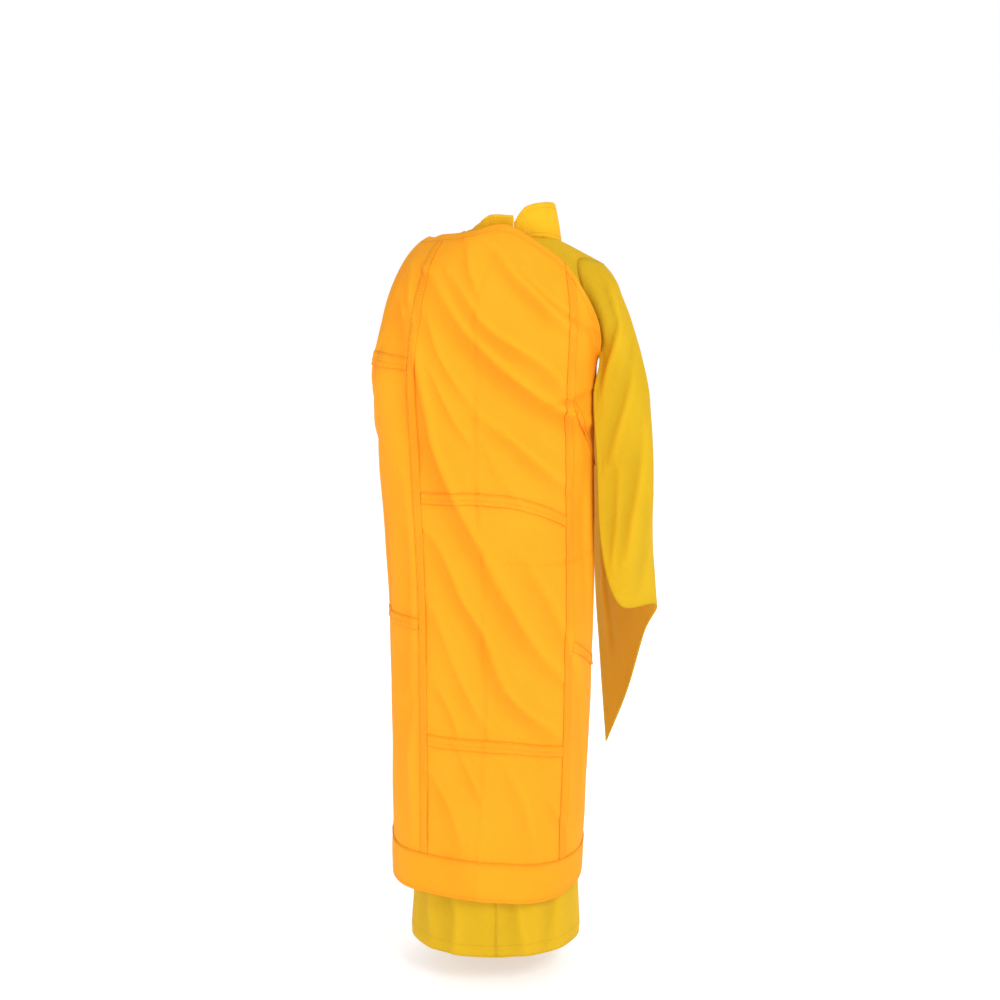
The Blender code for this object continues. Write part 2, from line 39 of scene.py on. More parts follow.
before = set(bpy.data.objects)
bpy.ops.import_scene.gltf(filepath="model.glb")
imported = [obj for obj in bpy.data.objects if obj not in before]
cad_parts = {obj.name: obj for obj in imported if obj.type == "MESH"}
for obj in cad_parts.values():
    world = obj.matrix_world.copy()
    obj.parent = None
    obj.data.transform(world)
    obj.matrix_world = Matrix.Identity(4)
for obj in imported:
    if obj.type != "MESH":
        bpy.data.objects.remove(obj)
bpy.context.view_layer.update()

SHOULDER_HEIGHT = 1.440
WALL = 0.0012
LEAF_WALL = 0.0008
COLLAR_WALL = 0.0016
ARMPIT_HEIGHT = 1.275
ROBE_SQUARENESS = 2.3
# Columns: height, centre_x, half_width, back, front.
ROBE_SECTIONS = (
    (0.070, 0.019, 0.171, 0.160, 0.150),
    (0.200, 0.017, 0.164, 0.158, 0.148),
    (0.500, 0.010, 0.158, 0.148, 0.140),
    (0.800, 0.004, 0.157, 0.135, 0.130),
    (1.050, 0.000, 0.157, 0.116, 0.120),
    (1.275, 0.000, 0.164, 0.104, 0.104),
)
# Columns: angle, x, y, height.
YOKE_LINE = (
    (-40.0, 0.084, -0.026, 1.448),
    (-32.0, 0.110, -0.0125, 1.4455),
    (-12.0, 0.174, -0.007, 1.4138),
    (0.0, 0.187, -0.003, 1.4066),
    (12.0, 0.174, 0.001, 1.4138),
    (32.0, 0.110, 0.0045, 1.4465),
    (40.0, 0.084, 0.018, 1.456),
    (65.0, 0.046, 0.050, 1.458),
    (90.0, 0.000, 0.062, 1.458),
)
ARMHOLE_ANGLE = 30.0
FRONT_LAP = 0.008
# Columns: share, left_angle, right_angle.
FRONT_EDGES = (
    (0.00, -138.0, -138.0),
    (0.45, -138.0, -138.0),
    (0.55, -128.0, -118.0),
    (0.65, -108.0, -92.0),
    (0.78, -82.0, -72.0),
    (1.00, -40.0, -40.0),
)
# Columns: seam_x, seam_y, seam_height, free_x, free_y, free_height.
COLLAR_RIGHT = (
    (-0.0165, 0.0602, 1.4570, -0.0165, 0.064, 1.486),
    (-0.042, 0.0525, 1.4570, -0.037, 0.060, 1.513),
    (-0.074, 0.040, 1.4570, -0.068, 0.045, 1.522),
    (-0.104, 0.007, 1.4470, -0.093, 0.012, 1.519),
    (-0.104, -0.027, 1.4405, -0.086, -0.026, 1.498),
    (-0.092, -0.066, 1.424, -0.070, -0.063, 1.454),
    (-0.076, -0.088, 1.396, -0.050, -0.086, 1.426),
)
COLLAR_LEFT = (
    (-0.0155, 0.0603, 1.4570, -0.0155, 0.064, 1.498),
    (0.016, 0.0595, 1.4570, 0.016, 0.064, 1.500),
    (0.0327, 0.0564, 1.4570, 0.032, 0.0605, 1.497),
    (0.050, 0.0495, 1.4570, 0.047, 0.052, 1.484),
    (0.0694, 0.0363, 1.4570, 0.061, 0.036, 1.472),
    (0.086, 0.018, 1.457, 0.072, 0.014, 1.467),
    (0.098, -0.032, 1.453, 0.076, -0.031, 1.466),
    (0.090, -0.072, 1.424, 0.065, -0.074, 1.452),
    (0.068, -0.096, 1.384, 0.038, -0.098, 1.412),
    (0.016, -0.115, 1.300, -0.020, -0.114, 1.324),
    (-0.022, -0.118, 1.248, -0.060, -0.112, 1.270),
)
ARM_OUT = {-1: 0.014, 1: 0.010}
ARM_BACK = {-1: 0.034, 1: 0.022}
ARM_IN = {-1: 0.050, 1: 0.040}
ARM_DROP = 0.046
# Columns: along, facing, top, outer_mid, inner_mid, seam.
SLEEVE_RIGHT = (
    (0.07, 84.0, (0.206, -0.001, 1.384), (0.203, 0.066, 1.300), (0.197, -0.052, 1.295), (0.181, 0.036, 1.227)),
    (0.12, 82.0, (0.216, 0.002, 1.358), (0.217, 0.071, 1.250), (0.204, -0.046, 1.244), (0.169, 0.052, 1.165)),
    (0.20, 78.0, (0.231, 0.006, 1.315), (0.233, 0.078, 1.180), (0.211, -0.036, 1.170), (0.175, 0.060, 1.050)),
    (0.38, 70.0, (0.253, 0.020, 1.225), (0.258, 0.088, 1.010), (0.218, -0.034, 1.000), (0.187, 0.062, 0.860)),
    (0.52, 66.0, (0.263, 0.014, 1.160), (0.277, 0.078, 0.930), (0.228, -0.040, 0.930), (0.224, 0.060, 0.752)),
    (0.64, 34.0, (0.262, -0.040, 1.112), (0.284, 0.018, 0.930), (0.236, -0.076, 0.920), (0.297, 0.020, 0.745)),
    (0.76, 6.0, (0.263, -0.135, 1.106), (0.287, -0.105, 0.880), (0.221, -0.150, 0.870), (0.283, -0.085, 0.660)),
    (0.88, -2.0, (0.252, -0.235, 1.114), (0.273, -0.215, 0.800), (0.207, -0.235, 0.790), (0.258, -0.190, 0.505)),
    (1.00, -4.0, (0.240, -0.335, 1.126), (0.258, -0.330, 0.745), (0.196, -0.318, 0.745), (0.222, -0.285, 0.362)),
)
SLEEVE_LEFT = (
    (0.07, 84.0, (0.196, -0.002, 1.382), (0.196, 0.052, 1.310), (0.192, -0.050, 1.300), (0.189, 0.006, 1.240)),
    (0.20, 78.0, (0.212, 0.000, 1.314), (0.212, 0.044, 1.255), (0.199, -0.042, 1.245), (0.192, 0.012, 1.205)),
    (0.38, 70.0, (0.223, 0.004, 1.226), (0.216, 0.050, 1.150), (0.197, -0.036, 1.150), (0.193, 0.010, 1.110)),
    (0.52, 66.0, (0.224, 0.000, 1.166), (0.212, 0.050, 0.980), (0.194, -0.040, 0.980), (0.197, 0.036, 0.840)),
    (0.64, 34.0, (0.221, -0.046, 1.116), (0.209, 0.000, 0.930), (0.191, -0.072, 0.920), (0.203, 0.004, 0.745)),
    (0.76, 8.0, (0.210, -0.130, 1.104), (0.205, -0.095, 0.880), (0.184, -0.135, 0.870), (0.198, -0.080, 0.670)),
    (0.88, -2.0, (0.194, -0.210, 1.108), (0.190, -0.182, 0.800), (0.168, -0.205, 0.790), (0.188, -0.160, 0.520)),
    (1.00, -4.0, (0.166, -0.276, 1.116), (0.166, -0.262, 0.750), (0.138, -0.268, 0.745), (0.152, -0.234, 0.395)),
)
MANTLE_DROP = 1.290
COLUMN_WIDTH = 0.285
END_BORDER = 0.055
TOP_TURN = 0.030
HEM_BORDER = 0.080
LEAF_WIDTH = 0.022
COLUMN_NAMES = ("outer_end", "left_arm", "back", "right_side", "front_right", "front_left", "inner_end")
# Columns: height, left_outer, left_inner, right, back, front, front_outer.
MANTLE_SECTIONS = (
    (0.190, 0.224, 0.196, 0.154, 0.174, 0.166, 0.330),
    (0.500, 0.224, 0.182, 0.167, 0.163, 0.154, 0.345),
    (0.800, 0.227, 0.175, 0.175, 0.149, 0.144, 0.360),
    (1.050, 0.244, 0.172, 0.172, 0.132, 0.140, 0.365),
    (1.180, 0.254, 0.176, 0.174, 0.124, 0.134, 0.360),
    (1.300, 0.244, 0.182, 0.182, 0.124, 0.130, 0.330),
)
BACK_SQUARENESS = 2.3
ARM_SQUARENESS = 3.0
INNER_BACK_STEP = 0.013
FIRST_TURN = 46.0
FIRST_TURN_FALL = 130.0
# Columns: along, angle, top_x, top_y, top_height, rounding, hem.
MANTLE_STATIONS = (
    (0.000, -52.0, 0.080, -0.146, 1.362, 0.200, 0.215),
    (0.140, -36.0, 0.106, -0.122, 1.400, 0.220, 0.212),
    (0.280, -19.0, 0.130, -0.086, 1.432, 0.240, 0.208),
    (0.400, -3.0, 0.146, -0.042, 1.456, 0.260, 0.205),
    (0.500, 15.0, 0.132, -0.014, 1.456, 0.250, 0.203),
    (0.625, 52.0, 0.114, 0.022, 1.462, 0.230, 0.203),
    (0.720, 71.0, 0.056, 0.074, 1.470, 0.210, 0.198),
    (0.790, 88.0, 0.000, 0.086, 1.482, 0.210, 0.190),
    (0.850, 109.0, -0.052, 0.086, 1.455, 0.190, 0.186),
    (0.910, 129.0, -0.110, 0.086, 1.412, 0.140, 0.188),
    (0.980, 146.0, -0.156, 0.084, 1.345, 0.060, 0.195),
    (1.030, 158.0, -0.178, 0.070, 1.290, 0.040, 0.200),
    (1.075, 171.0, -0.182, 0.036, 1.242, 0.025, 0.203),
    (1.110, 188.0, -0.175, -0.004, 1.226, 0.012, 0.205),
    (1.150, 200.0, -0.167, -0.050, 1.226, 0.012, 0.207),
    (1.195, 216.0, -0.147, -0.090, 1.234, 0.015, 0.210),
    (1.300, 238.0, -0.098, -0.126, 1.252, 0.020, 0.212),
    (1.400, 256.0, -0.046, -0.142, 1.288, 0.030, 0.214),
    (1.480, 270.0, 0.000, -0.144, 1.322, 0.045, 0.216),
    (1.580, 287.0, 0.052, -0.136, 1.350, 0.060, 0.218),
    (1.680, 306.0, 0.104, -0.118, 1.350, 0.060, 0.220),
    (1.765, 322.0, 0.142, -0.096, 1.308, 0.050, 0.224),
    (1.830, 338.0, 0.163, -0.068, 1.262, 0.030, 0.228),
    (1.900, 356.0, 0.174, -0.022, 1.228, 0.015, 0.232),
    (1.980, 372.0, 0.173, 0.022, 1.216, 0.015, 0.240),
    (2.040, 388.0, 0.164, 0.054, 1.206, 0.015, 0.246),
    (2.105, 402.0, 0.148, 0.078, 1.196, 0.015, 0.252),
)
SHORT_TOP = (0.195, 0.578)
SHORT_FOOT = (0.388, 0.752)

# The camera stands behind the wearer. Distances in metres, the pitch in degrees.
CAMERA_BACK = 3.10
CAMERA_HEIGHT = 1.50
CAMERA_PITCH = 10.07
CAMERA_REACH = 1609.0
CAMERA_MIDDLE = 505.0

# Depths at which the camera's sight lines to creases end.
BACK_DEPTH = 0.14
HEM_DEPTH = 0.15
SLEEVE_DEPTH = 0.07

# Creases. Columns: depth and half width in millimetres, then the trough's points as
# seen by the camera, across and down in thousandths of the view.
BACK_CREASES = (
    (9.0, 17, ((425, 278), (453, 326), (482, 358), (511, 384), (543, 407), (570, 424), (594, 438))),
    (6.5, 14, ((448, 278), (463, 303), (483, 330), (510, 350), (537, 367), (556, 384))),
    (4.5, 11, ((463, 245), (465, 270), (475, 295))),
    (6.0, 13, ((493, 252), (510, 277), (530, 297), (550, 317), (570, 334))),
    (3.5, 8, ((520, 272), (543, 295), (563, 312), (583, 327), (600, 338))),
    (9.0, 18, ((400, 322), (410, 373), (420, 423), (428, 457), (450, 507), (467, 537), (483, 567), (507, 610),
               (533, 650), (556, 676))),
    (4.5, 10, ((423, 320), (433, 353), (450, 383), (475, 416))),
    (4.0, 9, ((426, 372), (440, 403), (453, 427), (469, 448))),
    (5.0, 14, ((478, 420), (507, 443), (530, 463), (568, 494))),
    (7.0, 14, ((427, 538), (443, 567), (457, 600), (477, 630), (483, 643), (500, 687), (520, 710), (551, 733))),
    (2.5, 10, ((480, 443), (497, 477), (520, 508))),
    (4.0, 12, ((430, 612), (447, 657), (467, 700), (485, 728))),
    (3.5, 10, ((431, 680), (447, 710), (455, 731))),
    (3.0, 11, ((428, 773), (447, 807), (459, 843))),
    (3.0, 9, ((455, 745), (470, 777), (479, 796))),
    (2.0, 10, ((547, 798), (563, 830))),
    (5.0, 9, ((545, 408), (570, 403), (592, 396))),
    (3.5, 7, ((553, 416), (586, 421))),
    (3.0, 16, ((520, 560), (545, 600), (566, 650), (580, 700))),
    (2.5, 14, ((500, 760), (520, 800), (530, 845))),
    (4.0, 13, ((392, 300), (398, 340), (400, 380), (404, 430))),
    (4.0, 12, ((404, 268), (402, 300), (410, 330))),
    (3.0, 14, ((398, 480), (404, 540), (407, 610), (405, 690))),
    (2.5, 13, ((410, 700), (404, 760), (408, 840))),
    (3.5, 13, ((588, 455), (583, 520), (585, 590), (588, 660))),
    (2.5, 12, ((578, 700), (581, 760), (577, 830))),
)
# Pressed lines: narrow, sharp creases of folded storage.
BACK_PRESSED = (
    (2.2, 5, ((495, 257), (487, 273), (478, 300), (474, 320), (478, 363), (477, 403), (476, 473), (480, 540),
              (485, 583), (483, 640), (487, 700), (483, 773), (477, 860), (474, 900))),
    (2.0, 5, ((508, 561), (543, 564), (570, 563), (598, 558))),
)
# The same kind of creases where the view doesn't reach. Points are x and height in metres.
FRONT_CREASES = (
    (6.0, 20, ((-0.140, 1.215), (-0.060, 1.120), (0.010, 1.020), (0.070, 0.860))),
    (6.0, 20, ((-0.120, 1.110), (-0.050, 0.960), (-0.010, 0.780), (0.010, 0.560))),
    (5.5, 22, ((0.090, 1.320), (0.060, 1.180), (0.050, 1.040), (0.060, 0.880))),
    (4.0, 15, ((0.030, 1.300), (-0.010, 1.190), (-0.030, 1.080))),
    (4.0, 18, ((0.110, 0.960), (0.090, 0.800), (0.050, 0.640), (0.040, 0.480))),
    (3.5, 17, ((-0.100, 0.720), (-0.070, 0.560), (-0.060, 0.380))),
    (3.0, 16, ((0.080, 0.460), (0.060, 0.340), (0.060, 0.230))),
)
# Left side and forearm. Points are y and height in metres.
SIDE_CREASES = (
    (6.0, 18, ((0.080, 1.270), (0.020, 1.180), (-0.050, 1.120), (-0.130, 1.080))),
    (5.0, 16, ((0.060, 1.120), (-0.010, 1.060), (-0.090, 1.030), (-0.170, 1.020))),
    (6.5, 24, ((-0.060, 1.060), (-0.070, 0.860), (-0.100, 0.620), (-0.120, 0.380))),
    (5.0, 20, ((0.050, 1.000), (0.040, 0.800), (0.020, 0.560), (0.020, 0.300))),
    (5.5, 22, ((-0.200, 1.040), (-0.190, 0.820), (-0.210, 0.560), (-0.230, 0.300))),
    (4.0, 16, ((-0.130, 0.960), (-0.150, 0.760), (-0.160, 0.520))),
    (4.0, 18, ((-0.280, 1.060), (-0.270, 0.840), (-0.290, 0.600))),
)
# Right sleeve's outer sheet as the camera sees it.
SLEEVE_CREASES = (
    (7.0, 9, ((606, 284), (611, 304), (616, 326))),
    (6.5, 9, ((619, 318), (611, 344), (603, 372), (599, 392))),
    (5.0, 12, ((632, 352), (624, 392), (613, 430), (605, 462))),
    (5.0, 14, ((640, 430), (634, 476), (626, 520), (621, 556))),
    (4.5, 12, ((614, 470), (612, 520), (606, 570), (602, 610))),
    (4.0, 12, ((648, 500), (646, 546), (641, 590))),
    (4.0, 11, ((588, 287), (593, 313), (602, 345))),
)
# Sleeve sheets out of view. Points are metres along the sleeve and down from the fold on the arm.
SLEEVE_HUNG = (
    (5.0, 16, ((0.54, 0.02), (0.56, 0.16), (0.60, 0.32), (0.63, 0.46))),
    (5.5, 18, ((0.66, 0.03), (0.69, 0.20), (0.72, 0.38), (0.76, 0.56))),
    (5.0, 18, ((0.79, 0.03), (0.81, 0.22), (0.84, 0.42), (0.86, 0.60))),
    (3.5, 14, ((0.46, 0.04), (0.45, 0.15), (0.47, 0.28))),
    (3.0, 14, ((0.60, 0.30), (0.66, 0.42), (0.70, 0.56))),
)
# Robe's hem and shoulder as the camera sees them.
ROBE_CREASES = (
    (4.5, 15, ((447, 880), (450, 920), (447, 955))),
    (4.5, 14, ((512, 880), (514, 915), (520, 952))),
    (4.0, 13, ((550, 880), (552, 910), (548, 945))),
    (3.0, 12, ((425, 885), (424, 915), (428, 945))),
    (3.5, 10, ((560, 276), (573, 293), (590, 313), (600, 336))),
    (3.0, 9, ((585, 280), (592, 300), (600, 320))),
    (2.5, 10, ((560, 250), (575, 262), (592, 280))),
)
HIDDEN_ROBE_WAVES = 14
FULL_FOLD = 0.008
PANEL_CELLS = 58
COLLAR_CELLS = 110
HEM_STITCH_HEIGHT = 0.024
HEM_STITCH_INSET = 0.12
LEAF_STITCHES = (0.0025, 0.0090, 0.0150)
CROSS_STITCHES = (0.15, 0.62)


def curve(rows, value):
    """Read a table of (position, numbers...) rows at positions, on a smooth curve through them."""
    table = np.array(rows, dtype=float)
    position, columns = table[:, 0], table[:, 1:]
    value = np.clip(value, position[0], position[-1])
    last = len(position) - 2
    low = np.clip(np.searchsorted(position, value, side="left") - 1, 0, last)
    high, before, after = low + 1, np.maximum(low - 1, 0), np.minimum(low + 2, last + 1)
    step = (position[high] - position[low])[..., None]
    share = (value - position[low])[..., None] / step
    slope_low = (columns[high] - columns[before]) / (position[high] - position[before])[..., None] * step
    slope_high = (columns[after] - columns[low]) / (position[after] - position[low])[..., None] * step
    square, cube = share ** 2, share ** 3
    return (
        (2 * cube - 3 * square + 1) * columns[low]
        + (cube - 2 * square + share) * slope_low
        + (3 * square - 2 * cube) * columns[high]
        + (cube - square) * slope_high
    )


def smooth_step(low, high, value):
    share = np.clip((value - low) / (high - low), 0.0, 1.0)
    return share * share * (3.0 - 2.0 * share)


def oval(angle, width, depth, squareness):
    turn = np.radians(angle)
    power = 2.0 / squareness
    across = np.sign(np.cos(turn)) * np.abs(np.cos(turn)) ** power
    deep = np.sign(np.sin(turn)) * np.abs(np.sin(turn)) ** power
    return width * across, depth * deep


def place(x, y, height):
    return np.stack(np.broadcast_arrays(x, y, height - SHOULDER_HEIGHT), axis=-1)


def sighted(across, down, depth):
    """Where a point of the view lies on the upright plane at a depth: x and height in metres."""
    pitch = math.radians(CAMERA_PITCH)
    away = CAMERA_BACK - depth
    height = CAMERA_HEIGHT - away * math.tan(pitch + math.atan((down - 500.0) / CAMERA_REACH))
    reach = away * math.cos(pitch) + (CAMERA_HEIGHT - height) * math.sin(pitch)
    return (CAMERA_MIDDLE - across) * reach / CAMERA_REACH, height


def robe_point(angle, level, side=1, lap=0.0):
    """Point of the robe: level 0 is the hem, 1 the armpit and 2 the neck and shoulder line."""
    around = angle if side > 0 else 180.0 - angle
    low = ROBE_SECTIONS[0][0]
    height = low + (ARMPIT_HEIGHT - low) * np.minimum(level, 1.0)
    centre, width, back, front = np.moveaxis(curve(ROBE_SECTIONS, height), -1, 0)
    depth = np.where(np.sin(np.radians(around)) > 0, back, front)
    x, y = oval(around, width - lap, depth - lap, ROBE_SQUARENESS)
    x = centre + x
    line_x, line_y, line_h = np.moveaxis(curve(YOKE_LINE, angle), -1, 0)
    turn = np.radians(90.0 * np.maximum(level - 1.0, 0.0))
    inward, upward = 1.0 - np.cos(turn), np.sin(turn)
    line_y = line_y + np.where(angle < 0.0, lap, -lap)
    top = height + (line_h - lap - ARMPIT_HEIGHT) * upward
    return place(x + (side * line_x - x) * inward, y + (line_y - y) * inward, top)


def armhole_angle(level):
    over = np.clip(level - 1.0, 0.0, 1.0)
    return ARMHOLE_ANGLE * np.sin(np.pi * over) ** 0.8


def mantle_ring(angle, height):
    outer, inner, right, back, front, forearm = np.moveaxis(curve(MANTLE_SECTIONS, height), -1, 0)
    width = np.select([angle <= 90.0, angle <= 270.0], [outer, right], inner)
    inner_back = back - INNER_BACK_STEP
    depth = np.select([angle < 0.0, angle <= 180.0, angle <= 360.0], [forearm, back, front], inner_back)
    squareness = np.where(angle <= 90.0, ARM_SQUARENESS, BACK_SQUARENESS)
    return oval(angle, width, depth, squareness)


def mantle_flat(along, down):
    """Points of the mantle without its creases. along is in metres, down runs 0 at the top to 1."""
    angle, top_x, top_y, top_h, rounding, hem = np.moveaxis(curve(MANTLE_STATIONS, along), -1, 0)
    turn_height = top_h - rounding
    ring_x, ring_y = mantle_ring(angle, turn_height)
    arc = np.hypot(np.hypot(ring_x - top_x, ring_y - top_y), rounding)
    share = arc / (arc + turn_height - hem)
    first = np.radians(FIRST_TURN - FIRST_TURN_FALL * rounding)
    turn = first + (0.5 * np.pi - first) * np.minimum(down / share, 1.0)
    bent = top_h - rounding * (1.0 - np.cos(turn) / np.cos(first))
    straight = turn_height - (turn_height - hem) * (down - share) / (1.0 - share)
    height = np.where(down < share, bent, straight)
    blend = np.where(down < share, (np.sin(turn) - np.sin(first)) / (1.0 - np.sin(first)), 1.0)
    ring_x, ring_y = mantle_ring(angle, height)
    return place(top_x + (ring_x - top_x) * blend, top_y + (ring_y - top_y) * blend, height), angle


def outward(grid):
    """Unit normals of a grid of points, away from the wearer."""
    normal = np.cross(np.gradient(grid, axis=0), np.gradient(grid, axis=1))
    return normal / np.maximum(np.linalg.norm(normal, axis=-1, keepdims=True), 1e-9)


def creased(creases, across, height, depth=None):
    """How far creases press the cloth in at points, in metres. Each is steep with a raised lip on its
    upper side and falls softly on the other.

    With a depth, the routes are points of the view, put on the upright plane at that depth.
    """
    total = np.zeros(across.shape)
    for deep, half_width, route in creases:
        points = [sighted(x, y, depth) if depth is not None else (x, y) for x, y in route]
        rows = [(index / (len(points) - 1), *point) for index, point in enumerate(points)]
        shares = np.linspace(0.0, 1.0, 25)
        line = curve(rows, shares)
        nearest = np.full(across.shape, 1e9)
        signed = np.zeros(across.shape)
        along = np.zeros(across.shape)
        for index in range(len(line) - 1):
            (start_x, start_h), (run_x, run_h) = line[index], line[index + 1] - line[index]
            from_x, from_h = across - start_x, height - start_h
            share = np.clip((from_x * run_x + from_h * run_h) / (run_x ** 2 + run_h ** 2), 0.0, 1.0)
            gap = np.hypot(from_x - share * run_x, from_h - share * run_h)
            closer = gap < nearest
            side = np.sign(run_x * from_h - run_h * from_x)
            nearest = np.where(closer, gap, nearest)
            signed = np.where(closer, gap * side, signed)
            along = np.where(closer, (index + share) / (len(line) - 1), along)
        across_fold = signed * 1000.0 / half_width
        across_fold = np.where(across_fold < 0.0, across_fold / 0.55, across_fold / 1.30)
        fade = np.sin(np.pi * (0.10 + 0.80 * along)) ** 0.8
        profile = np.exp(-across_fold ** 2) - 0.50 * np.exp(-(across_fold + 1.65) ** 2)
        total += 0.001 * deep * fade * profile
    return total


def limited(relief, most):
    return most * np.tanh(relief / most)


def ripple(first, second, size):
    """Small even unevenness of hung cloth."""
    return size * (
        np.sin(first * 31.0 + 1.3 * np.sin(second * 9.0))
        + 0.7 * np.sin(first * 57.0 - second * 23.0 + 0.8)
        + 0.5 * np.sin(second * 41.0 + first * 17.0 + 2.1)
    )


def mantle_surface(along, down):
    """Inner face of the creased mantle over grid lines, with how far its creases press it in."""
    down, along = np.meshgrid(down, along, indexing="ij")
    grid, angle = mantle_flat(along, down)
    height = grid[..., 2] + SHOULDER_HEIGHT
    x, y = grid[..., 0], grid[..., 1]
    back = smooth_step(8.0, 30.0, angle) * smooth_step(178.0, 160.0, angle)
    front = smooth_step(185.0, 200.0, angle) * smooth_step(345.0, 330.0, angle)
    side = smooth_step(34.0, 14.0, angle)
    relief = back * (
        limited(creased(BACK_CREASES, x, height, BACK_DEPTH), 0.0085)
        + creased(BACK_PRESSED, x, height, BACK_DEPTH)
    )
    relief += front * limited(creased(FRONT_CREASES, x, height), 0.006)
    relief += side * limited(creased(SIDE_CREASES, y, height), 0.007)
    relief += ripple(along, down * MANTLE_DROP, 0.0005)
    return grid - outward(grid) * relief[..., None], relief


def grid_faces(rows, cells):
    corner = (np.arange(rows - 1)[:, None] * cells + np.arange(cells - 1)).ravel()
    return np.stack([corner, corner + cells, corner + cells + 1, corner + 1], axis=-1)


def cloth_uv(grid):
    """Metres along the cloth and down it, for the weave."""
    over = np.linalg.norm(np.diff(grid, axis=1), axis=-1)
    down = np.linalg.norm(np.diff(grid, axis=0), axis=-1)
    u = np.concatenate([np.zeros((len(grid), 1)), np.cumsum(over, axis=1)], axis=1)
    v = np.concatenate([np.zeros((1, grid.shape[1])), np.cumsum(down, axis=0)], axis=0)
    middle = grid.shape[1] // 2
    return np.stack([u - u[:, middle:middle + 1], -v], axis=-1)


def sheet_piece(name, parts, finish, wall, flip=False):
    """One cloth piece of (grid, relief, pucker) parts, each an open sheet that Solidify gives its wall."""
    points, faces, uvs, relief, pucker = [], [], [], [], []
    start = 0
    for grid, pressed, gathered in parts:
        rows, cells = grid.shape[:2]
        faces.append(grid_faces(rows, cells) + start)
        points.append(grid.reshape(-1, 3))
        uvs.append(cloth_uv(grid).reshape(-1, 2))
        relief.append(np.broadcast_to(pressed, (rows, cells)).ravel())
        pucker.append(np.broadcast_to(gathered, (rows, cells)).ravel())
        start += rows * cells
    points, faces, uvs = np.concatenate(points), np.concatenate(faces), np.concatenate(uvs)
    if flip:
        faces = faces[:, ::-1]
    mesh = bpy.data.meshes.new(name)
    mesh.from_pydata(points.tolist(), [], faces.tolist())
    layer = mesh.uv_layers.new(name="cloth")
    layer.uv.foreach_set("vector", uvs[faces.ravel()].astype(np.float32).ravel())
    for label, values in (("fold", np.concatenate(relief) / FULL_FOLD), ("pucker", np.concatenate(pucker))):
        attribute = mesh.attributes.new(label, "FLOAT", "POINT")
        attribute.data.foreach_set("value", values.astype(np.float32))
    mesh.shade_smooth()
    mesh.materials.append(finish)
    piece = bpy.data.objects.new(name, mesh)
    bpy.context.scene.collection.objects.link(piece)
    thicken = piece.modifiers.new("wall", "SOLIDIFY")
    thicken.thickness = wall
    thicken.offset = 1.0
    return piece


def hand_over(piece, flat, node):
    """Attach a finished cloth piece to the root and hide the imported part of that node."""
    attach(piece, "root")
    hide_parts(node)


def cut_size(grid):
    """Width and length of the flat cut of a sheet, whose rows run across it."""
    length = float(np.linalg.norm(np.diff(grid, axis=0), axis=-1).sum(axis=0).mean())
    return round(sheet_area(grid) / length, 3), round(length, 3)


class Socket:
    """A shader socket that arithmetic works on."""

    def __init__(self, tree, socket):
        self.tree = tree
        self.socket = socket

    def maths(self, operation, first, second=0.0):
        return self.tree.node("ShaderNodeMath", {0: first, 1: second}, operation=operation)

    def __add__(self, other):
        return self.maths("ADD", self, other)

    def __sub__(self, other):
        return self.maths("SUBTRACT", self, other)

    def __rsub__(self, other):
        return self.maths("SUBTRACT", other, self)

    def __mul__(self, other):
        return self.maths("MULTIPLY", self, other)

    def clipped(self, low, high):
        return self.maths("MINIMUM", self.maths("MAXIMUM", self, low), high)

    def sine(self):
        return self.maths("SINE", self)

    __radd__ = __add__
    __rmul__ = __mul__


class Tree:
    """Shader nodes of one material."""

    def __init__(self, material):
        self.tree = material.node_tree
        self.shader = self.tree.nodes["Principled BSDF"]

    def node(self, kind, inputs=None, output=0, **settings):
        node = self.tree.nodes.new(kind)
        for name, value in settings.items():
            setattr(node, name, value)
        for key, value in (inputs or {}).items():
            self.feed(node.inputs[key], value)
        return Socket(self, node.outputs[output])

    def feed(self, socket, value):
        if isinstance(value, Socket):
            self.tree.links.new(value.socket, socket)
        else:
            socket.default_value = value

    def mix(self, factor, first, second):
        return self.node("ShaderNodeMix", {0: factor, 6: first, 7: second}, output=2, data_type="RGBA")


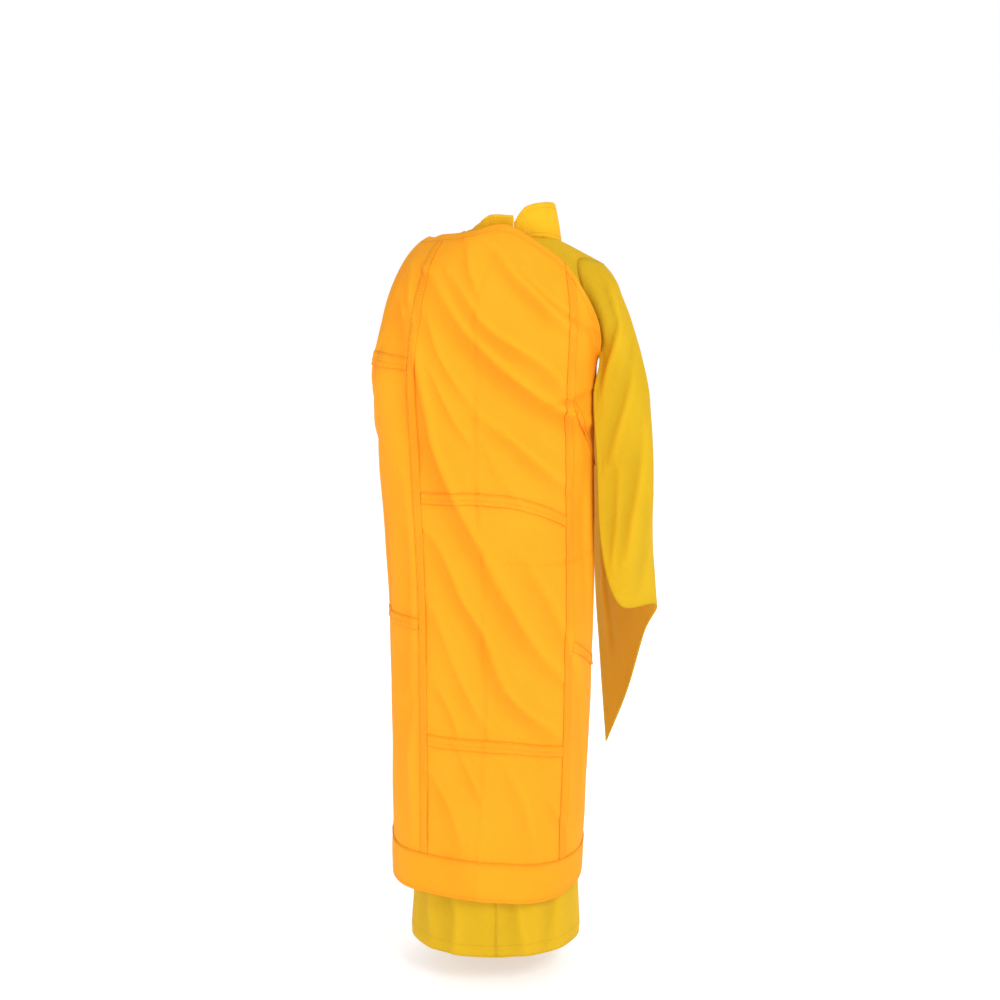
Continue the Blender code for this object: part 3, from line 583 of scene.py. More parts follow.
def cloth_finish(name, colour, deep, look):
    """Plain-woven cotton: colour deepened by crease depth as painted shade, and soft patches, with bumps for
    weave, slubs and puckers.
    """
    material = bpy.data.materials.new(name)
    material.use_nodes = True
    tree = Tree(material)
    uv = tree.node("ShaderNodeUVMap", uv_map="cloth")
    across = tree.node("ShaderNodeSeparateXYZ", {0: uv}, output=0)
    down = tree.node("ShaderNodeSeparateXYZ", {0: uv}, output=1)
    pitch = 2.0 * math.pi / look.thread_pitch
    weave = (across * pitch).sine() * (down * pitch).sine()
    slub_place = tree.node("ShaderNodeCombineXYZ", {0: across * 900.0, 1: down * 70.0, 2: 0.0})
    slub = tree.node("ShaderNodeTexNoise", {"Vector": slub_place, "Scale": 1.0, "Detail": 2.0})
    weft_place = tree.node("ShaderNodeCombineXYZ", {0: across * 60.0, 1: down * 900.0, 2: 4.0})
    weft = tree.node("ShaderNodeTexNoise", {"Vector": weft_place, "Scale": 1.0, "Detail": 2.0})
    body = tree.node("ShaderNodeTexCoord", output=3)
    patches = tree.node("ShaderNodeTexNoise", {"Vector": body, "Scale": 7.0, "Detail": 3.0})
    rumple = tree.node("ShaderNodeTexNoise", {"Vector": body, "Scale": 34.0, "Detail": 3.0, "Roughness": 0.45})
    gather_place = tree.node("ShaderNodeVectorMath", {0: uv, 1: (170.0, 170.0, 1.0)}, operation="MULTIPLY")
    gather = tree.node("ShaderNodeTexNoise", {"Vector": gather_place, "Scale": 1.0, "Detail": 1.0})
    fold = tree.node("ShaderNodeAttribute", output=2, attribute_name="fold")
    pucker = tree.node("ShaderNodeAttribute", output=2, attribute_name="pucker")
    thread_tone = (slub + weft - 1.0) * 0.35
    # Painted shade: the fold (crease depth) mixes the colour towards its crease shade colour. Patches and thread
    # tone vary it at random, and it is a little darker where pucker is set.
    shade = (fold * 0.62 + (patches - 0.5) * 0.5 + thread_tone + pucker * 0.10 + 0.12).clipped(0.0, 1.0)
    tree.feed(tree.shader.inputs["Base Color"], tree.mix(shade, (*colour, 1.0), (*deep, 1.0)))
    tree.feed(tree.shader.inputs["Roughness"], (patches * 0.12 + 0.74).clipped(0.0, 1.0))
    tree.shader.inputs["Sheen Weight"].default_value = look.sheen
    tree.shader.inputs["Sheen Roughness"].default_value = 0.45
    tree.shader.inputs["Sheen Tint"].default_value = (*colour, 1.0)
    tree.shader.inputs["Specular IOR Level"].default_value = 0.25
    soft = tree.node("ShaderNodeBump", {"Height": rumple, "Strength": 0.35, "Distance": 0.0022})
    gathers = tree.node(
        "ShaderNodeBump", {"Height": gather * pucker, "Strength": 0.8, "Distance": 0.0014, "Normal": soft}
    )
    threads = weave * 0.5 + (slub + weft) * 0.6
    fine = tree.node(
        "ShaderNodeBump", {"Height": threads, "Strength": 0.45, "Distance": 0.00018, "Normal": gathers}
    )
    tree.feed(tree.shader.inputs["Normal"], fine)
    return material


def thread_finish(colour):
    """Twisted sewing thread."""
    material = bpy.data.materials.new("sewing_thread")
    material.use_nodes = True
    tree = Tree(material)
    body = tree.node("ShaderNodeTexCoord", output=3)
    twist = tree.node("ShaderNodeTexNoise", {"Vector": body, "Scale": 900.0, "Detail": 1.0})
    tone = tree.mix(twist, (*colour, 1.0), (*[part * 0.6 for part in colour], 1.0))
    tree.feed(tree.shader.inputs["Base Color"], tone)
    tree.feed(tree.shader.inputs["Roughness"], twist * 0.2 + 0.5)
    return material


def finish(name):
    """Finish of that name, made from the settings when it is first used."""
    made = bpy.data.materials.get(name)
    if made:
        return made
    look = bpy.context.scene.monk_robe_look
    # Each cloth: its colour in the light and its painted crease shade colour.
    colours = {
        "mantle_cloth": (look.mantle_colour, look.mantle_crease_shade),
        "leaf_cloth": (look.leaf_colour, look.mantle_crease_shade),
        "robe_cloth": (look.robe_colour, look.robe_crease_shade),
        "collar_cloth": (look.collar_colour, look.robe_crease_shade),
    }
    if name == "sewing_thread":
        return thread_finish(tuple(look.thread_colour))
    colour, deep = colours[name]
    return cloth_finish(name, tuple(colour), tuple(deep), look)


def near(values, lines, reach):
    """1 on the lines, fading to 0 a reach away."""
    gap = np.min(np.abs(np.asarray(values)[:, None] - np.asarray(lines)[None, :]), axis=1)
    return np.exp(-(gap / reach) ** 2)


def column_span(index):
    start = END_BORDER + index * COLUMN_WIDTH
    first = 0.0 if index == 0 else start
    last = start + COLUMN_WIDTH + (END_BORDER if index == len(COLUMN_NAMES) - 1 else 0.0)
    return first, start, last


def cross_levels(index):
    return SHORT_TOP if index % 2 else SHORT_FOOT


def column_cell(index):
    look = bpy.context.scene.monk_robe_look
    return look.fine_cell if COLUMN_NAMES[index] in ("left_arm", "back", "right_side") else look.plain_cell


def steps(first, last, cell):
    return np.linspace(first, last, max(2, round((last - first) / cell) + 1))


def build_mantle_columns():
    gap = 0.0003
    for index, name in enumerate(COLUMN_NAMES):
        first, start, last = column_span(index)
        cell = column_cell(index)
        along = steps(first + gap, last - gap, cell)
        down = steps(0.0, 1.0, 1.4 * cell / MANTLE_DROP)
        grid, relief = mantle_surface(along, down)
        seams = near(along, (start, start + LEAF_WIDTH, last), 0.009)[None, :]
        turned = (TOP_TURN, (1.0 - HEM_BORDER / MANTLE_DROP) * MANTLE_DROP)
        cross = [level * MANTLE_DROP for level in cross_levels(index)]
        crossing = near(down * MANTLE_DROP, (*turned, *cross, *[line + LEAF_WIDTH for line in cross]), 0.009)
        pucker = np.maximum(seams, crossing[:, None])
        piece = sheet_piece(f"mantle_{name}_cloth", [(grid, relief, pucker)], finish("mantle_cloth"), WALL)
        hand_over(piece, cut_size(grid), f"mantle_{name}")


def lifted(along, down, distance):
    """Skin over the mantle, a distance clear of its outer face."""
    grid, relief = mantle_surface(along, down)
    return grid + outward(grid) * np.asarray(WALL + distance)[..., None], relief


def free_edge(down, seed):
    """Where a leaf band's free edge stands off the cloth, 0 to 1."""
    wave = np.sin(down * 21.0 + seed) + 0.6 * np.sin(down * 47.0 + 2.0 * seed) + 0.2
    return smooth_step(0.1, 1.1, wave)


def leaf_parts(index):
    """The upright leaf band of a column and its two cross leaves."""
    _, start, last = column_span(index)
    cell = column_cell(index)
    top, bottom = TOP_TURN / MANTLE_DROP, 1.0 - HEM_BORDER / MANTLE_DROP
    parts = []
    if index > 0:
        along = np.linspace(start - 0.0015, start + LEAF_WIDTH, 9)
        down = steps(top, bottom, 1.4 * cell / MANTLE_DROP)
        across = np.linspace(0.0, 1.0, 9)
        stand = 0.0004 + 0.0022 * across[None, :] ** 3 * free_edge(down, index)[:, None]
        stand = stand + 0.0005 * np.sin(np.pi * across)[None, :]
        grid, relief = lifted(along, down, stand)
        parts.append((grid, relief, np.ones((1, 1))))
    for level in cross_levels(index):
        inset = LEAF_WIDTH + 0.0012 if index > 0 else 0.001
        along = steps(start + inset, last - 0.002, cell)
        across = np.linspace(0.0, 1.0, 7)
        down = level + across * LEAF_WIDTH / MANTLE_DROP
        out = across[:, None]
        stand = 0.0003 + 0.0010 * out**2 + 0.0010 * out**4 * free_edge(3.0 * along, index)
        grid, relief = lifted(along, down, stand)
        parts.append((grid, relief, 0.8 * np.ones((1, 1))))
    return parts


def build_mantle_leaves():
    length = MANTLE_DROP - TOP_TURN - HEM_BORDER
    for index, name in enumerate(COLUMN_NAMES):
        parts = leaf_parts(index)
        if index == 0:
            for number, part in enumerate(parts):
                node = f"leaf_{name}_{number + 1}"
                piece = sheet_piece(f"{node}_cloth", [part], finish("leaf_cloth"), LEAF_WALL)
                hand_over(piece, cut_size(part[0]), node)
            continue
        piece = sheet_piece(f"leaf_{name}_cloth", parts, finish("leaf_cloth"), LEAF_WALL)
        cloth = sum(sheet_area(part[0]) for part in parts)
        hand_over(piece, (round(cloth / length, 4), length), f"leaf_{name}")


def build_mantle_borders():
    last = column_span(len(COLUMN_NAMES) - 1)[2]
    top = 1.0 - HEM_BORDER / MANTLE_DROP
    across = np.linspace(0.0, 1.0, 17)
    stand = 0.0005 + 0.0006 * np.sin(np.pi * across)[:, None]
    grid, relief = lifted(steps(0.0005, last - 0.0005, 0.0045), np.linspace(top + 0.0006, 1.0, 17), stand)
    pucker = near(across * HEM_BORDER, (0.0, 0.004, HEM_BORDER - 0.006), 0.008)[:, None]
    hem = sheet_piece("border_hem_cloth", [(grid, relief, pucker)], finish("leaf_cloth"), LEAF_WALL)
    hand_over(hem, cut_size(grid), "border_hem")
    along = np.linspace(0.001, END_BORDER - 0.002, 14)
    grid, relief = lifted(along, steps(TOP_TURN / MANTLE_DROP + 0.002, top - 0.003, 0.006), 0.0005)
    end = sheet_piece("border_outer_end_cloth", [(grid, relief, 0.4)], finish("leaf_cloth"), LEAF_WALL)
    hand_over(end, cut_size(grid), "border_outer_end")


def robe_levels():
    return np.concatenate([np.linspace(0.0, 1.0, 120), 1.0 + np.linspace(0.0, 0.995, 34)[1:]])


def seam_fade():
    """0 at a panel's two long edges and 1 between them, over its cells."""
    edge = np.sin(np.pi * np.clip(np.linspace(0.0, 1.0, PANEL_CELLS) * 6.0, 0.0, 0.5))
    return (edge * edge[::-1])[None, :]


def robe_relief(grid, angle):
    """Creases of the robe's body: those in view, and even soft waves lower down on every side."""
    height = grid[..., 2] + SHOULDER_HEIGHT
    seen = smooth_step(-0.02, 0.05, grid[..., 1])
    relief = seen * limited(creased(ROBE_CREASES, grid[..., 0], height, HEM_DEPTH), 0.004)
    low = smooth_step(0.9, 0.1, height)
    waves = 0.0022 * low * np.sin(np.radians(angle) * HIDDEN_ROBE_WAVES + 0.9 * np.sin(height * 5.0))
    return (relief + (1.0 - 0.7 * seen) * waves) * seam_fade()


def build_robe_body():
    levels = robe_levels()
    spread = np.linspace(0.0, 1.0, PANEL_CELLS)
    pucker = near(spread, (0.0, 1.0), 0.03)[None, :]
    armhole = armhole_angle(levels)[:, None]
    front_edges = curve(FRONT_EDGES, levels / 2.0)
    for place_word, word, side, lap, start, edge, neighbour in (
        ("back", "left", 1, 0.0, 90.0, armhole, "front"),
        ("back", "right", -1, 0.0, 90.0, armhole, "front"),
        ("front", "left", 1, 0.0, -armhole, front_edges[:, :1], "back"),
        ("front", "right", -1, FRONT_LAP, -armhole, front_edges[:, 1:], "back"),
    ):
        angle = start + (edge - start) * spread[None, :]
        level = np.broadcast_to(levels[:, None], angle.shape)
        grid = robe_point(angle, level, side, lap * np.minimum(1.0, 2.5 * spread)[None, :])
        relief = robe_relief(grid, angle) * smooth_step(0.0, 0.6, 1.995 - levels)[:, None]
        grid = grid - side * outward(grid) * relief[..., None]
        name = f"robe_{place_word}_{word}"
        piece = sheet_piece(f"{name}_cloth", [(grid, relief, pucker)], finish("robe_cloth"), WALL, side < 0)
        hand_over(piece, cut_size(grid), name)


def collar_grid(table, flip, clear=0.0):
    """Points of a collar band, a distance clear of its outer face."""
    rows = [(index, *row) for index, row in enumerate(table)]
    numbers = curve(rows, np.linspace(0.0, len(rows) - 1, COLLAR_CELLS))
    low, high = place(*numbers[:, :3].T), place(*numbers[:, 3:].T)
    across = np.linspace(0.0, 1.0, 15)[:, None, None]
    grid = low[None] * (1.0 - across) + high[None] * across
    along = np.linspace(0.0, 1.0, COLLAR_CELLS)[None, :]
    bulge = 0.0012 * np.sin(np.pi * across[..., 0]) + 0.0007 * np.sin(along * 60.0) * across[..., 0]
    out = outward(grid) * (-1.0 if flip else 1.0)
    return grid + out * (bulge + clear)[..., None]


def build_collars():
    pucker = near(np.linspace(0.0, 1.0, 15), (0.0, 0.12, 0.85), 0.12)[:, None]
    for word, table, flip in (("right", COLLAR_RIGHT, True), ("left", COLLAR_LEFT, False)):
        grid = collar_grid(table, flip)
        parts = [(grid, 0.0, pucker)]
        piece = sheet_piece(f"collar_{word}_cloth", parts, finish("collar_cloth"), COLLAR_WALL, flip)
        hand_over(piece, cut_size(grid), f"collar_{word}")


def sleeve_grid(table, side, outer, alongs, downs):
    """Points of one sheet of a sleeve, from the armhole to the cuff and from the fold to the seam."""
    level = 2.0 - np.minimum(downs, 0.999) * 0.98 - 0.008
    angle = np.maximum(armhole_angle(level), 0.6) * (1 if outer else -1)
    root = robe_point(angle, level) + np.array((0.0006, 0.0, 0.0))
    sections = [np.concatenate([[0.0], (root * np.array((side, 1.0, 1.0))).ravel()])]
    for along, facing, top, outer_mid, inner_mid, seam in table:
        turn = math.radians(facing)
        behind = math.sin(turn)
        reach = -ARM_IN[side]
        if outer:
            reach = ARM_OUT[side] + (ARM_BACK[side] - ARM_OUT[side]) * behind
        middle = outer_mid if outer else inner_mid
        drop = min(ARM_DROP * (1.0 - (0.75 if outer else 0.3) * behind), 0.5 * (top[2] - middle[2]))
        arm = (top[0] + reach * math.cos(turn), top[1] + reach * math.sin(turn), top[2] - drop)
        fall = top[2] - seam[2]
        rows = [(0.0, *top), (1.3 * drop / fall, *arm), ((top[2] - middle[2]) / fall, *middle), (1.0, *seam)]
        x, y, height = curve(rows, downs).T
        sections.append(np.concatenate([[along], place(side * x, y, height).ravel()]))
    return curve(sections, alongs).reshape(len(alongs), len(downs), 3)


def sleeve_surface(side, outer, alongs, downs):
    table = SLEEVE_RIGHT if side < 0 else SLEEVE_LEFT
    grid = sleeve_grid(table, side, outer, alongs, downs)
    facings = curve([(0.0, 90.0)] + [row[:2] for row in table], alongs)[:, 0]
    push = np.stack([side * np.cos(np.radians(facings)), np.sin(np.radians(facings)), 0.0 * facings], axis=-1)
    edge = np.select([downs < 1e-6, downs > 1.0 - 1e-6], [-0.0004, 0.0003], 0.0)
    grid = grid + push[:, None, :] * (edge * (1.0 if outer else -1.0))[None, :, None]
    along, down = np.meshgrid(alongs, downs, indexing="ij")
    hung = limited(creased(SLEEVE_HUNG, along * 0.95, down * 0.75), 0.005) * smooth_step(0.45, 0.58, along)
    relief = hung + ripple(along, down * 0.7, 0.0004)
    if side < 0 and outer:
        height = grid[..., 2] + SHOULDER_HEIGHT
        seen = limited(creased(SLEEVE_CREASES, grid[..., 0], height, SLEEVE_DEPTH), 0.006)
        relief = relief * smooth_step(0.55, 0.7, along) + seen * smooth_step(0.68, 0.56, along)
    ends = smooth_step(0.0, 0.07, along) * smooth_step(0.0, 0.10, down) * smooth_step(1.0, 0.92, down)
    relief = relief * ends * (1.0 if side < 0 else 0.5)
    sign = 1.0 if (side < 0) != outer else -1.0
    return grid - sign * outward(grid) * relief[..., None], relief


def build_sleeves():
    alongs, downs = np.linspace(0.0, 1.0, 100), np.linspace(0.0, 1.0, 86)
    for side, word in ((-1, "right"), (1, "left")):
        for outer, layer in ((True, "outer"), (False, "inner")):
            grid, relief = sleeve_surface(side, outer, alongs, downs)
            pucker = np.maximum(
                near(alongs, (0.0, 0.985), 0.02)[:, None],
                near(downs, (1.0,), 0.02)[None, :],
            )
            flip = (side < 0) == outer
            name = f"sleeve_{word}_{layer}"
            piece = sheet_piece(f"{name}_cloth", [(grid, relief, pucker)], finish("robe_cloth"), WALL, flip)
            hand_over(piece, cut_size(grid), name)


def sheet_area(grid):
    first = np.cross(grid[1:, :-1] - grid[:-1, :-1], grid[:-1, 1:] - grid[:-1, :-1])
    second = np.cross(grid[1:, :-1] - grid[1:, 1:], grid[:-1, 1:] - grid[1:, 1:])
    return float(0.5 * (np.linalg.norm(first, axis=-1).sum() + np.linalg.norm(second, axis=-1).sum()))


def stitch_tree():
    """Geometry nodes: short sewn stitches along every line of a mesh."""
    tree = bpy.data.node_groups.new("sewn_stitches", "GeometryNodeTree")
    face = tree.interface
    face.new_socket("Geometry", in_out="INPUT", socket_type="NodeSocketGeometry")
    for label in ("Pitch", "Stitch Length", "Thread Radius"):
        face.new_socket(label, in_out="INPUT", socket_type="NodeSocketFloat")
    face.new_socket("Thread", in_out="INPUT", socket_type="NodeSocketMaterial")
    face.new_socket("Geometry", in_out="OUTPUT", socket_type="NodeSocketGeometry")
    new = tree.nodes.new
    given, result = new("NodeGroupInput"), new("NodeGroupOutput")
    lines = new("GeometryNodeMeshToCurve")
    spaced = new("GeometryNodeResampleCurve")
    stitch = new("GeometryNodeMeshIcoSphere")
    tangent = new("GeometryNodeInputTangent")
    aligned = new("FunctionNodeAlignRotationToVector")
    shape = new("ShaderNodeCombineXYZ")
    placed = new("GeometryNodeInstanceOnPoints")
    real = new("GeometryNodeRealizeInstances")
    coloured = new("GeometryNodeSetMaterial")
    spaced.mode = "LENGTH"
    stitch.inputs["Radius"].default_value = 1.0
    stitch.inputs["Subdivisions"].default_value = 1
    aligned.axis = "X"
    for source, label, target, socket in (
        (given, "Geometry", lines, 0),
        (lines, 0, spaced, "Curve"),
        (given, "Pitch", spaced, "Length"),
        (tangent, 0, aligned, "Vector"),
        (given, "Stitch Length", shape, 0),
        (given, "Thread Radius", shape, 1),
        (given, "Thread Radius", shape, 2),
        (spaced, 0, placed, "Points"),
        (stitch, "Mesh", placed, "Instance"),
        (aligned, 0, placed, "Rotation"),
        (shape, 0, placed, "Scale"),
        (placed, 0, real, 0),
        (real, 0, coloured, "Geometry"),
        (given, "Thread", coloured, "Material"),
        (coloured, 0, result, 0),
    ):
        tree.links.new(source.outputs[label], target.inputs[socket])
    return tree


def stitched(name, lines):
    """Sew stitches along lines of points and leave them as one plain mesh."""
    sewing = bpy.context.scene.monk_robe_sewing
    points, edges = [], []
    for line in lines:
        first = len(points)
        points += [tuple(point) for point in line]
        edges += [(index, index + 1) for index in range(first, len(points) - 1)]
    mesh = bpy.data.meshes.new(f"{name}_lines")
    mesh.from_pydata(points, edges, [])
    guide = bpy.data.objects.new(f"{name}_lines", mesh)
    bpy.context.scene.collection.objects.link(guide)
    tree = bpy.data.node_groups.get("sewn_stitches") or stitch_tree()
    modifier = guide.modifiers.new("stitches", "NODES")
    modifier.node_group = tree
    values = {
        "Pitch": sewing.pitch,
        "Stitch Length": 0.5 * sewing.length,
        "Thread Radius": sewing.thread_radius,
        "Thread": finish("sewing_thread"),
    }
    for item in tree.interface.items_tree:
        if item.in_out == "INPUT" and item.name in values:
            modifier[item.identifier] = values[item.name]
    bpy.context.view_layer.update()
    depsgraph = bpy.context.evaluated_depsgraph_get()
    plain = bpy.data.meshes.new_from_object(guide.evaluated_get(depsgraph))
    plain.name = name
    bpy.data.objects.remove(guide, do_unlink=True)
    piece = bpy.data.objects.new(name, plain)
    bpy.context.scene.collection.objects.link(piece)
    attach(piece, "root")
    return piece


def mantle_line(along, down, height):
    """Line of stitches at a height over the mantle. Either along or down is one number."""
    beside = np.array([-0.002, 0.0, 0.002])
    if np.ndim(along):
        return lifted(along, np.minimum(down + beside, 1.0), height)[0][1]
    return lifted(along + beside, down, height)[0][:, 1]


def build_mantle_stitches():
    lines = []
    top, bottom = TOP_TURN / MANTLE_DROP, 1.0 - HEM_BORDER / MANTLE_DROP
    rise = LEAF_WALL + 0.0006
    down = steps(top + 0.004, bottom - 0.004, 0.006)
    for index in range(len(COLUMN_NAMES)):
        _, start, last = column_span(index)
        if index > 0:
            lines += [mantle_line(start + across, down, rise + 0.0003) for across in LEAF_STITCHES]
        along = steps(start + (LEAF_WIDTH if index > 0 else 0.0) + 0.004, last - 0.004, 0.006)
        for level in cross_levels(index):
            for share in CROSS_STITCHES:
                down_here = level + share * LEAF_WIDTH / MANTLE_DROP
                lines.append(mantle_line(along, down_here, rise + 0.0004 * share))
    along = steps(0.004, column_span(len(COLUMN_NAMES) - 1)[2] - 0.004, 0.005)
    for offset in (0.004, HEM_BORDER - 0.006):
        lines.append(mantle_line(along, bottom + offset / MANTLE_DROP, rise + 0.0003))
    lines.append(mantle_line(along, top - 0.003, 0.0001))
    down = steps(top + 0.006, bottom - 0.006, 0.006)
    lines += [mantle_line(offset, down, rise) for offset in (0.004, END_BORDER - 0.006)]
    stitched("mantle_stitches", lines)


def build_robe_stitches():
    lines = []
    heights = HEM_STITCH_HEIGHT + np.array([-0.004, 0.0, 0.004])
    levels = heights / (ARMPIT_HEIGHT - ROBE_SECTIONS[0][0])
    inset = HEM_STITCH_INSET
    angle = 90.0 - inset + (2.0 * inset - 90.0) * np.linspace(0.0, 1.0, PANEL_CELLS)[None, :]
    angle = np.broadcast_to(angle, (3, PANEL_CELLS))
    for side in (1, -1):
        grid = robe_point(angle, np.broadcast_to(levels[:, None], angle.shape), side)
        out = side * outward(grid)
        lines.append((grid - out * (robe_relief(grid, angle) - WALL - 0.0001)[..., None])[1])
    for table, flip in ((COLLAR_RIGHT, True), (COLLAR_LEFT, False)):
        grid = collar_grid(table, flip, COLLAR_WALL + 0.0001)
        lines += [grid[2], grid[12]]
    stitched("robe_stitches", lines)


def colour_setting(name, description, default):
    return bpy.props.FloatVectorProperty(
        name=name, description=description, default=default, subtype="COLOR", min=0.0, max=1.0
    )


def number_setting(name, description, default):
    return bpy.props.FloatProperty(name=name, description=description, default=default, min=0.0)


def length_setting(name, description, default):
    return bpy.props.FloatProperty(
        name=name, description=description, default=default, subtype="DISTANCE", unit="LENGTH", min=0.0
    )


class MonkRobeLook(bpy.types.PropertyGroup):
    """Cloth colours and weave."""

    mantle_colour: colour_setting("Mantle", "Mantle cloth in the light", (1.0, 0.405, 0.010))
    # Painted shade: the mantle's colour deep in its creases.
    mantle_crease_shade: colour_setting("Mantle Creases", "Mantle cloth deep in its creases", (1.0, 0.25, 0.003))
    leaf_colour: colour_setting("Leaf Bands", "Bands and borders sewn on the mantle", (1.0, 0.40, 0.009))
    robe_colour: colour_setting("Robe", "Robe cloth in the light", (0.76, 0.46, 0.008))
    # Painted shade: the robe's colour deep in its creases.
    robe_crease_shade: colour_setting("Robe Creases", "Robe cloth deep in its creases", (0.50, 0.30, 0.004))
    collar_colour: colour_setting("Collar", "Doubled cloth of the collar", (1.0, 0.53, 0.010))
    thread_colour: colour_setting("Thread", "Sewing thread", (0.62, 0.17, 0.004))
    thread_pitch: length_setting("Thread Pitch", "Distance of two neighbouring threads over and under", 0.0011)
    fine_cell: length_setting("Fine Cell", "Mesh cell of the mantle columns in view", 0.0036)
    plain_cell: length_setting("Plain Cell", "Mesh cell of the other mantle columns", 0.0065)
    sheen: bpy.props.FloatProperty(
        name="Sheen", description="Soft light of the nap", default=0.25, min=0.0, max=1.0, subtype="FACTOR"
    )


class MonkRobeSewing(bpy.types.PropertyGroup):
    """Stitches on the seams."""

    pitch: length_setting("Pitch", "Distance from one stitch to the next", 0.006)
    length: length_setting("Stitch", "Length of a stitch that shows", 0.0038)
    thread_radius: length_setting("Thread Radius", "Radius of the sewing thread", 0.00035)


class MonkRobeStage(bpy.types.PropertyGroup):
    """Floor, lights and camera."""

    floor_colour: colour_setting("Floor", "Pale studio floor", (0.90, 0.90, 0.90))
    floor_glow: number_setting("Floor Glow", "Light of the floor", 0.47)
    main_light: number_setting("Main Light", "Watts of the main light", 66.0)
    fill_light: number_setting("Fill Light", "Watts of the fill light", 20.0)
    backdrop: number_setting("Backdrop", "Brightness of the surround", 0.62)


class MONKROBE_OT_body(bpy.types.Operator):
    """Build the four body panels of the robe"""

    bl_idname = "monkrobe.body"
    bl_label = "Robe Body"

    def execute(self, context):
        build_robe_body()
        return {"FINISHED"}


class MONKROBE_OT_collar(bpy.types.Operator):
    """Build the crossed collar's two bands"""

    bl_idname = "monkrobe.collar"
    bl_label = "Collar"

    def execute(self, context):
        build_collars()
        return {"FINISHED"}


class MONKROBE_OT_sleeves(bpy.types.Operator):
    """Build the wide sleeves"""

    bl_idname = "monkrobe.sleeves"
    bl_label = "Sleeves"

    def execute(self, context):
        build_sleeves()
        return {"FINISHED"}


class MONKROBE_OT_mantle(bpy.types.Operator):
    """Build the mantle's seven columns"""

    bl_idname = "monkrobe.mantle"
    bl_label = "Mantle Columns"

    def execute(self, context):
        build_mantle_columns()
        return {"FINISHED"}


class MONKROBE_OT_leaves(bpy.types.Operator):
    """Build the leaf bands between the mantle's patches"""

    bl_idname = "monkrobe.leaves"
    bl_label = "Leaf Bands"

    def execute(self, context):
        build_mantle_leaves()
        return {"FINISHED"}


class MONKROBE_OT_borders(bpy.types.Operator):
    """Build the mantle's hem and end borders"""

    bl_idname = "monkrobe.borders"
    bl_label = "Borders"

    def execute(self, context):
        build_mantle_borders()
        return {"FINISHED"}


class MONKROBE_OT_stitches(bpy.types.Operator):
    """Sew the stitches that show on the mantle and the robe"""

    bl_idname = "monkrobe.stitches"
    bl_label = "Stitches"

    def execute(self, context):
        build_mantle_stitches()
        build_robe_stitches()
        return {"FINISHED"}


def area_light(name, power, size, position, target):
    data = bpy.data.lights.new(name, "AREA")
    data.energy = power
    data.size = size
    light = bpy.data.objects.new(name, data)
    bpy.context.scene.collection.objects.link(light)
    light.location = position
    light.rotation_euler = (Vector(target) - Vector(position)).to_track_quat("-Z", "Y").to_euler()


def studio_world(strength):
    """White surround that lights the cloth with a strength of its own."""
    world = bpy.data.worlds.new("studio")
    world.use_nodes = True
    nodes, links = world.node_tree.nodes, world.node_tree.links
    lit, seen = nodes["Background"], nodes.new("ShaderNodeBackground")
    for surround in (lit, seen):
        surround.inputs["Color"].default_value = (1.0, 1.0, 1.0, 1.0)
    lit.inputs["Strength"].default_value = strength
    blend = nodes.new("ShaderNodeMixShader")
    links.new(nodes.new("ShaderNodeLightPath").outputs["Is Camera Ray"], blend.inputs[0])
    links.new(lit.outputs[0], blend.inputs[1])
    links.new(seen.outputs[0], blend.inputs[2])
    links.new(blend.outputs[0], nodes["World Output"].inputs["Surface"])
    return world


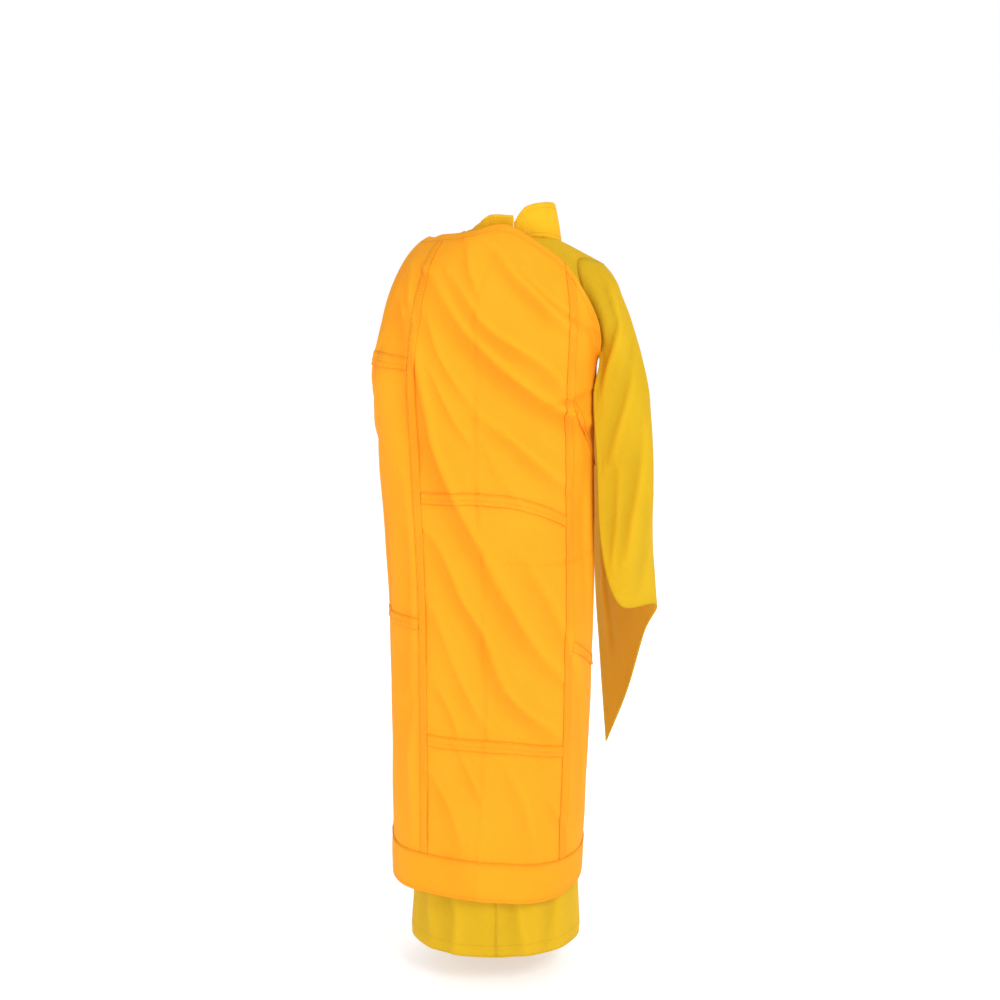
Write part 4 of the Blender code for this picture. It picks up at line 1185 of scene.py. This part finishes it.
class MONKROBE_OT_stage(bpy.types.Operator):
    """Set the pale floor, the soft lights and the camera"""

    bl_idname = "monkrobe.stage"
    bl_label = "Stage"

    def execute(self, context):
        scene = context.scene
        stage = scene.monk_robe_stage
        far, low = 14.0, -SHOULDER_HEIGHT
        mesh = bpy.data.meshes.new("studio_floor")
        corners = [(-far, -far, low), (far, -far, low), (far, far, low), (-far, far, low)]
        mesh.from_pydata(corners, [], [(0, 1, 2, 3)])
        floor = bpy.data.objects.new("studio_floor", mesh)
        scene.collection.objects.link(floor)
        paint = bpy.data.materials.new("studio_floor")
        paint.use_nodes = True
        shader = paint.node_tree.nodes["Principled BSDF"]
        shader.inputs["Base Color"].default_value = (*stage.floor_colour, 1.0)
        shader.inputs["Roughness"].default_value = 0.9
        shader.inputs["Emission Color"].default_value = (1.0, 1.0, 1.0, 1.0)
        shader.inputs["Emission Strength"].default_value = stage.floor_glow
        mesh.materials.append(paint)
        scene.world = studio_world(stage.backdrop)
        scene.view_settings.view_transform = "Standard"
        middle = (0.0, 0.0, -0.6)
        area_light("main_light", stage.main_light, 1.6, (-1.9, 3.1, 1.9), middle)
        area_light("fill_light", stage.fill_light, 2.6, (2.8, 2.4, 0.2), middle)
        area_light("front_light", 0.5 * stage.main_light, 2.6, (-1.2, -3.4, 1.4), middle)
        data = bpy.data.cameras.new("camera")
        data.sensor_width = 36.0
        data.lens = 36.0 * CAMERA_REACH / 1000.0
        data.shift_x = (500.0 - CAMERA_MIDDLE) / 1000.0
        camera = bpy.data.objects.new("camera", data)
        scene.collection.objects.link(camera)
        camera.location = (0.0, CAMERA_BACK, CAMERA_HEIGHT - SHOULDER_HEIGHT)
        camera.rotation_euler = (math.radians(90.0 - CAMERA_PITCH), 0.0, math.pi)
        scene.camera = camera
        return {"FINISHED"}


STEPS = (
    MONKROBE_OT_body,
    MONKROBE_OT_collar,
    MONKROBE_OT_sleeves,
    MONKROBE_OT_mantle,
    MONKROBE_OT_leaves,
    MONKROBE_OT_borders,
    MONKROBE_OT_stitches,
    MONKROBE_OT_stage,
)


class MONKROBE_PT_panel(bpy.types.Panel):
    """Sidebar panel of the robe's settings and steps"""

    bl_idname = "MONKROBE_PT_panel"
    bl_label = "Monk Robe"
    bl_space_type = "VIEW_3D"
    bl_region_type = "UI"
    bl_category = "Monk Robe"

    def draw(self, context):
        scene = context.scene
        for group in (scene.monk_robe_look, scene.monk_robe_sewing, scene.monk_robe_stage):
            for label in group.__annotations__:
                self.layout.prop(group, label)
        for step in STEPS:
            self.layout.operator(step.bl_idname)


GROUPS = (MonkRobeLook, MonkRobeSewing, MonkRobeStage)


def register():
    for item in (*GROUPS, *STEPS, MONKROBE_PT_panel):
        bpy.utils.register_class(item)
    bpy.types.Scene.monk_robe_look = bpy.props.PointerProperty(type=MonkRobeLook)
    bpy.types.Scene.monk_robe_sewing = bpy.props.PointerProperty(type=MonkRobeSewing)
    bpy.types.Scene.monk_robe_stage = bpy.props.PointerProperty(type=MonkRobeStage)


def unregister():
    del bpy.types.Scene.monk_robe_stage
    del bpy.types.Scene.monk_robe_sewing
    del bpy.types.Scene.monk_robe_look
    for item in reversed((*GROUPS, *STEPS, MONKROBE_PT_panel)):
        bpy.utils.unregister_class(item)


def main():
    register()
    bpy.ops.monkrobe.body()
    bpy.ops.monkrobe.collar()
    bpy.ops.monkrobe.sleeves()
    bpy.ops.monkrobe.mantle()
    bpy.ops.monkrobe.leaves()
    bpy.ops.monkrobe.borders()
    bpy.ops.monkrobe.stitches()
    bpy.ops.monkrobe.stage()
    bpy.context.view_layer.update()


if __name__ == "__main__":
    main()
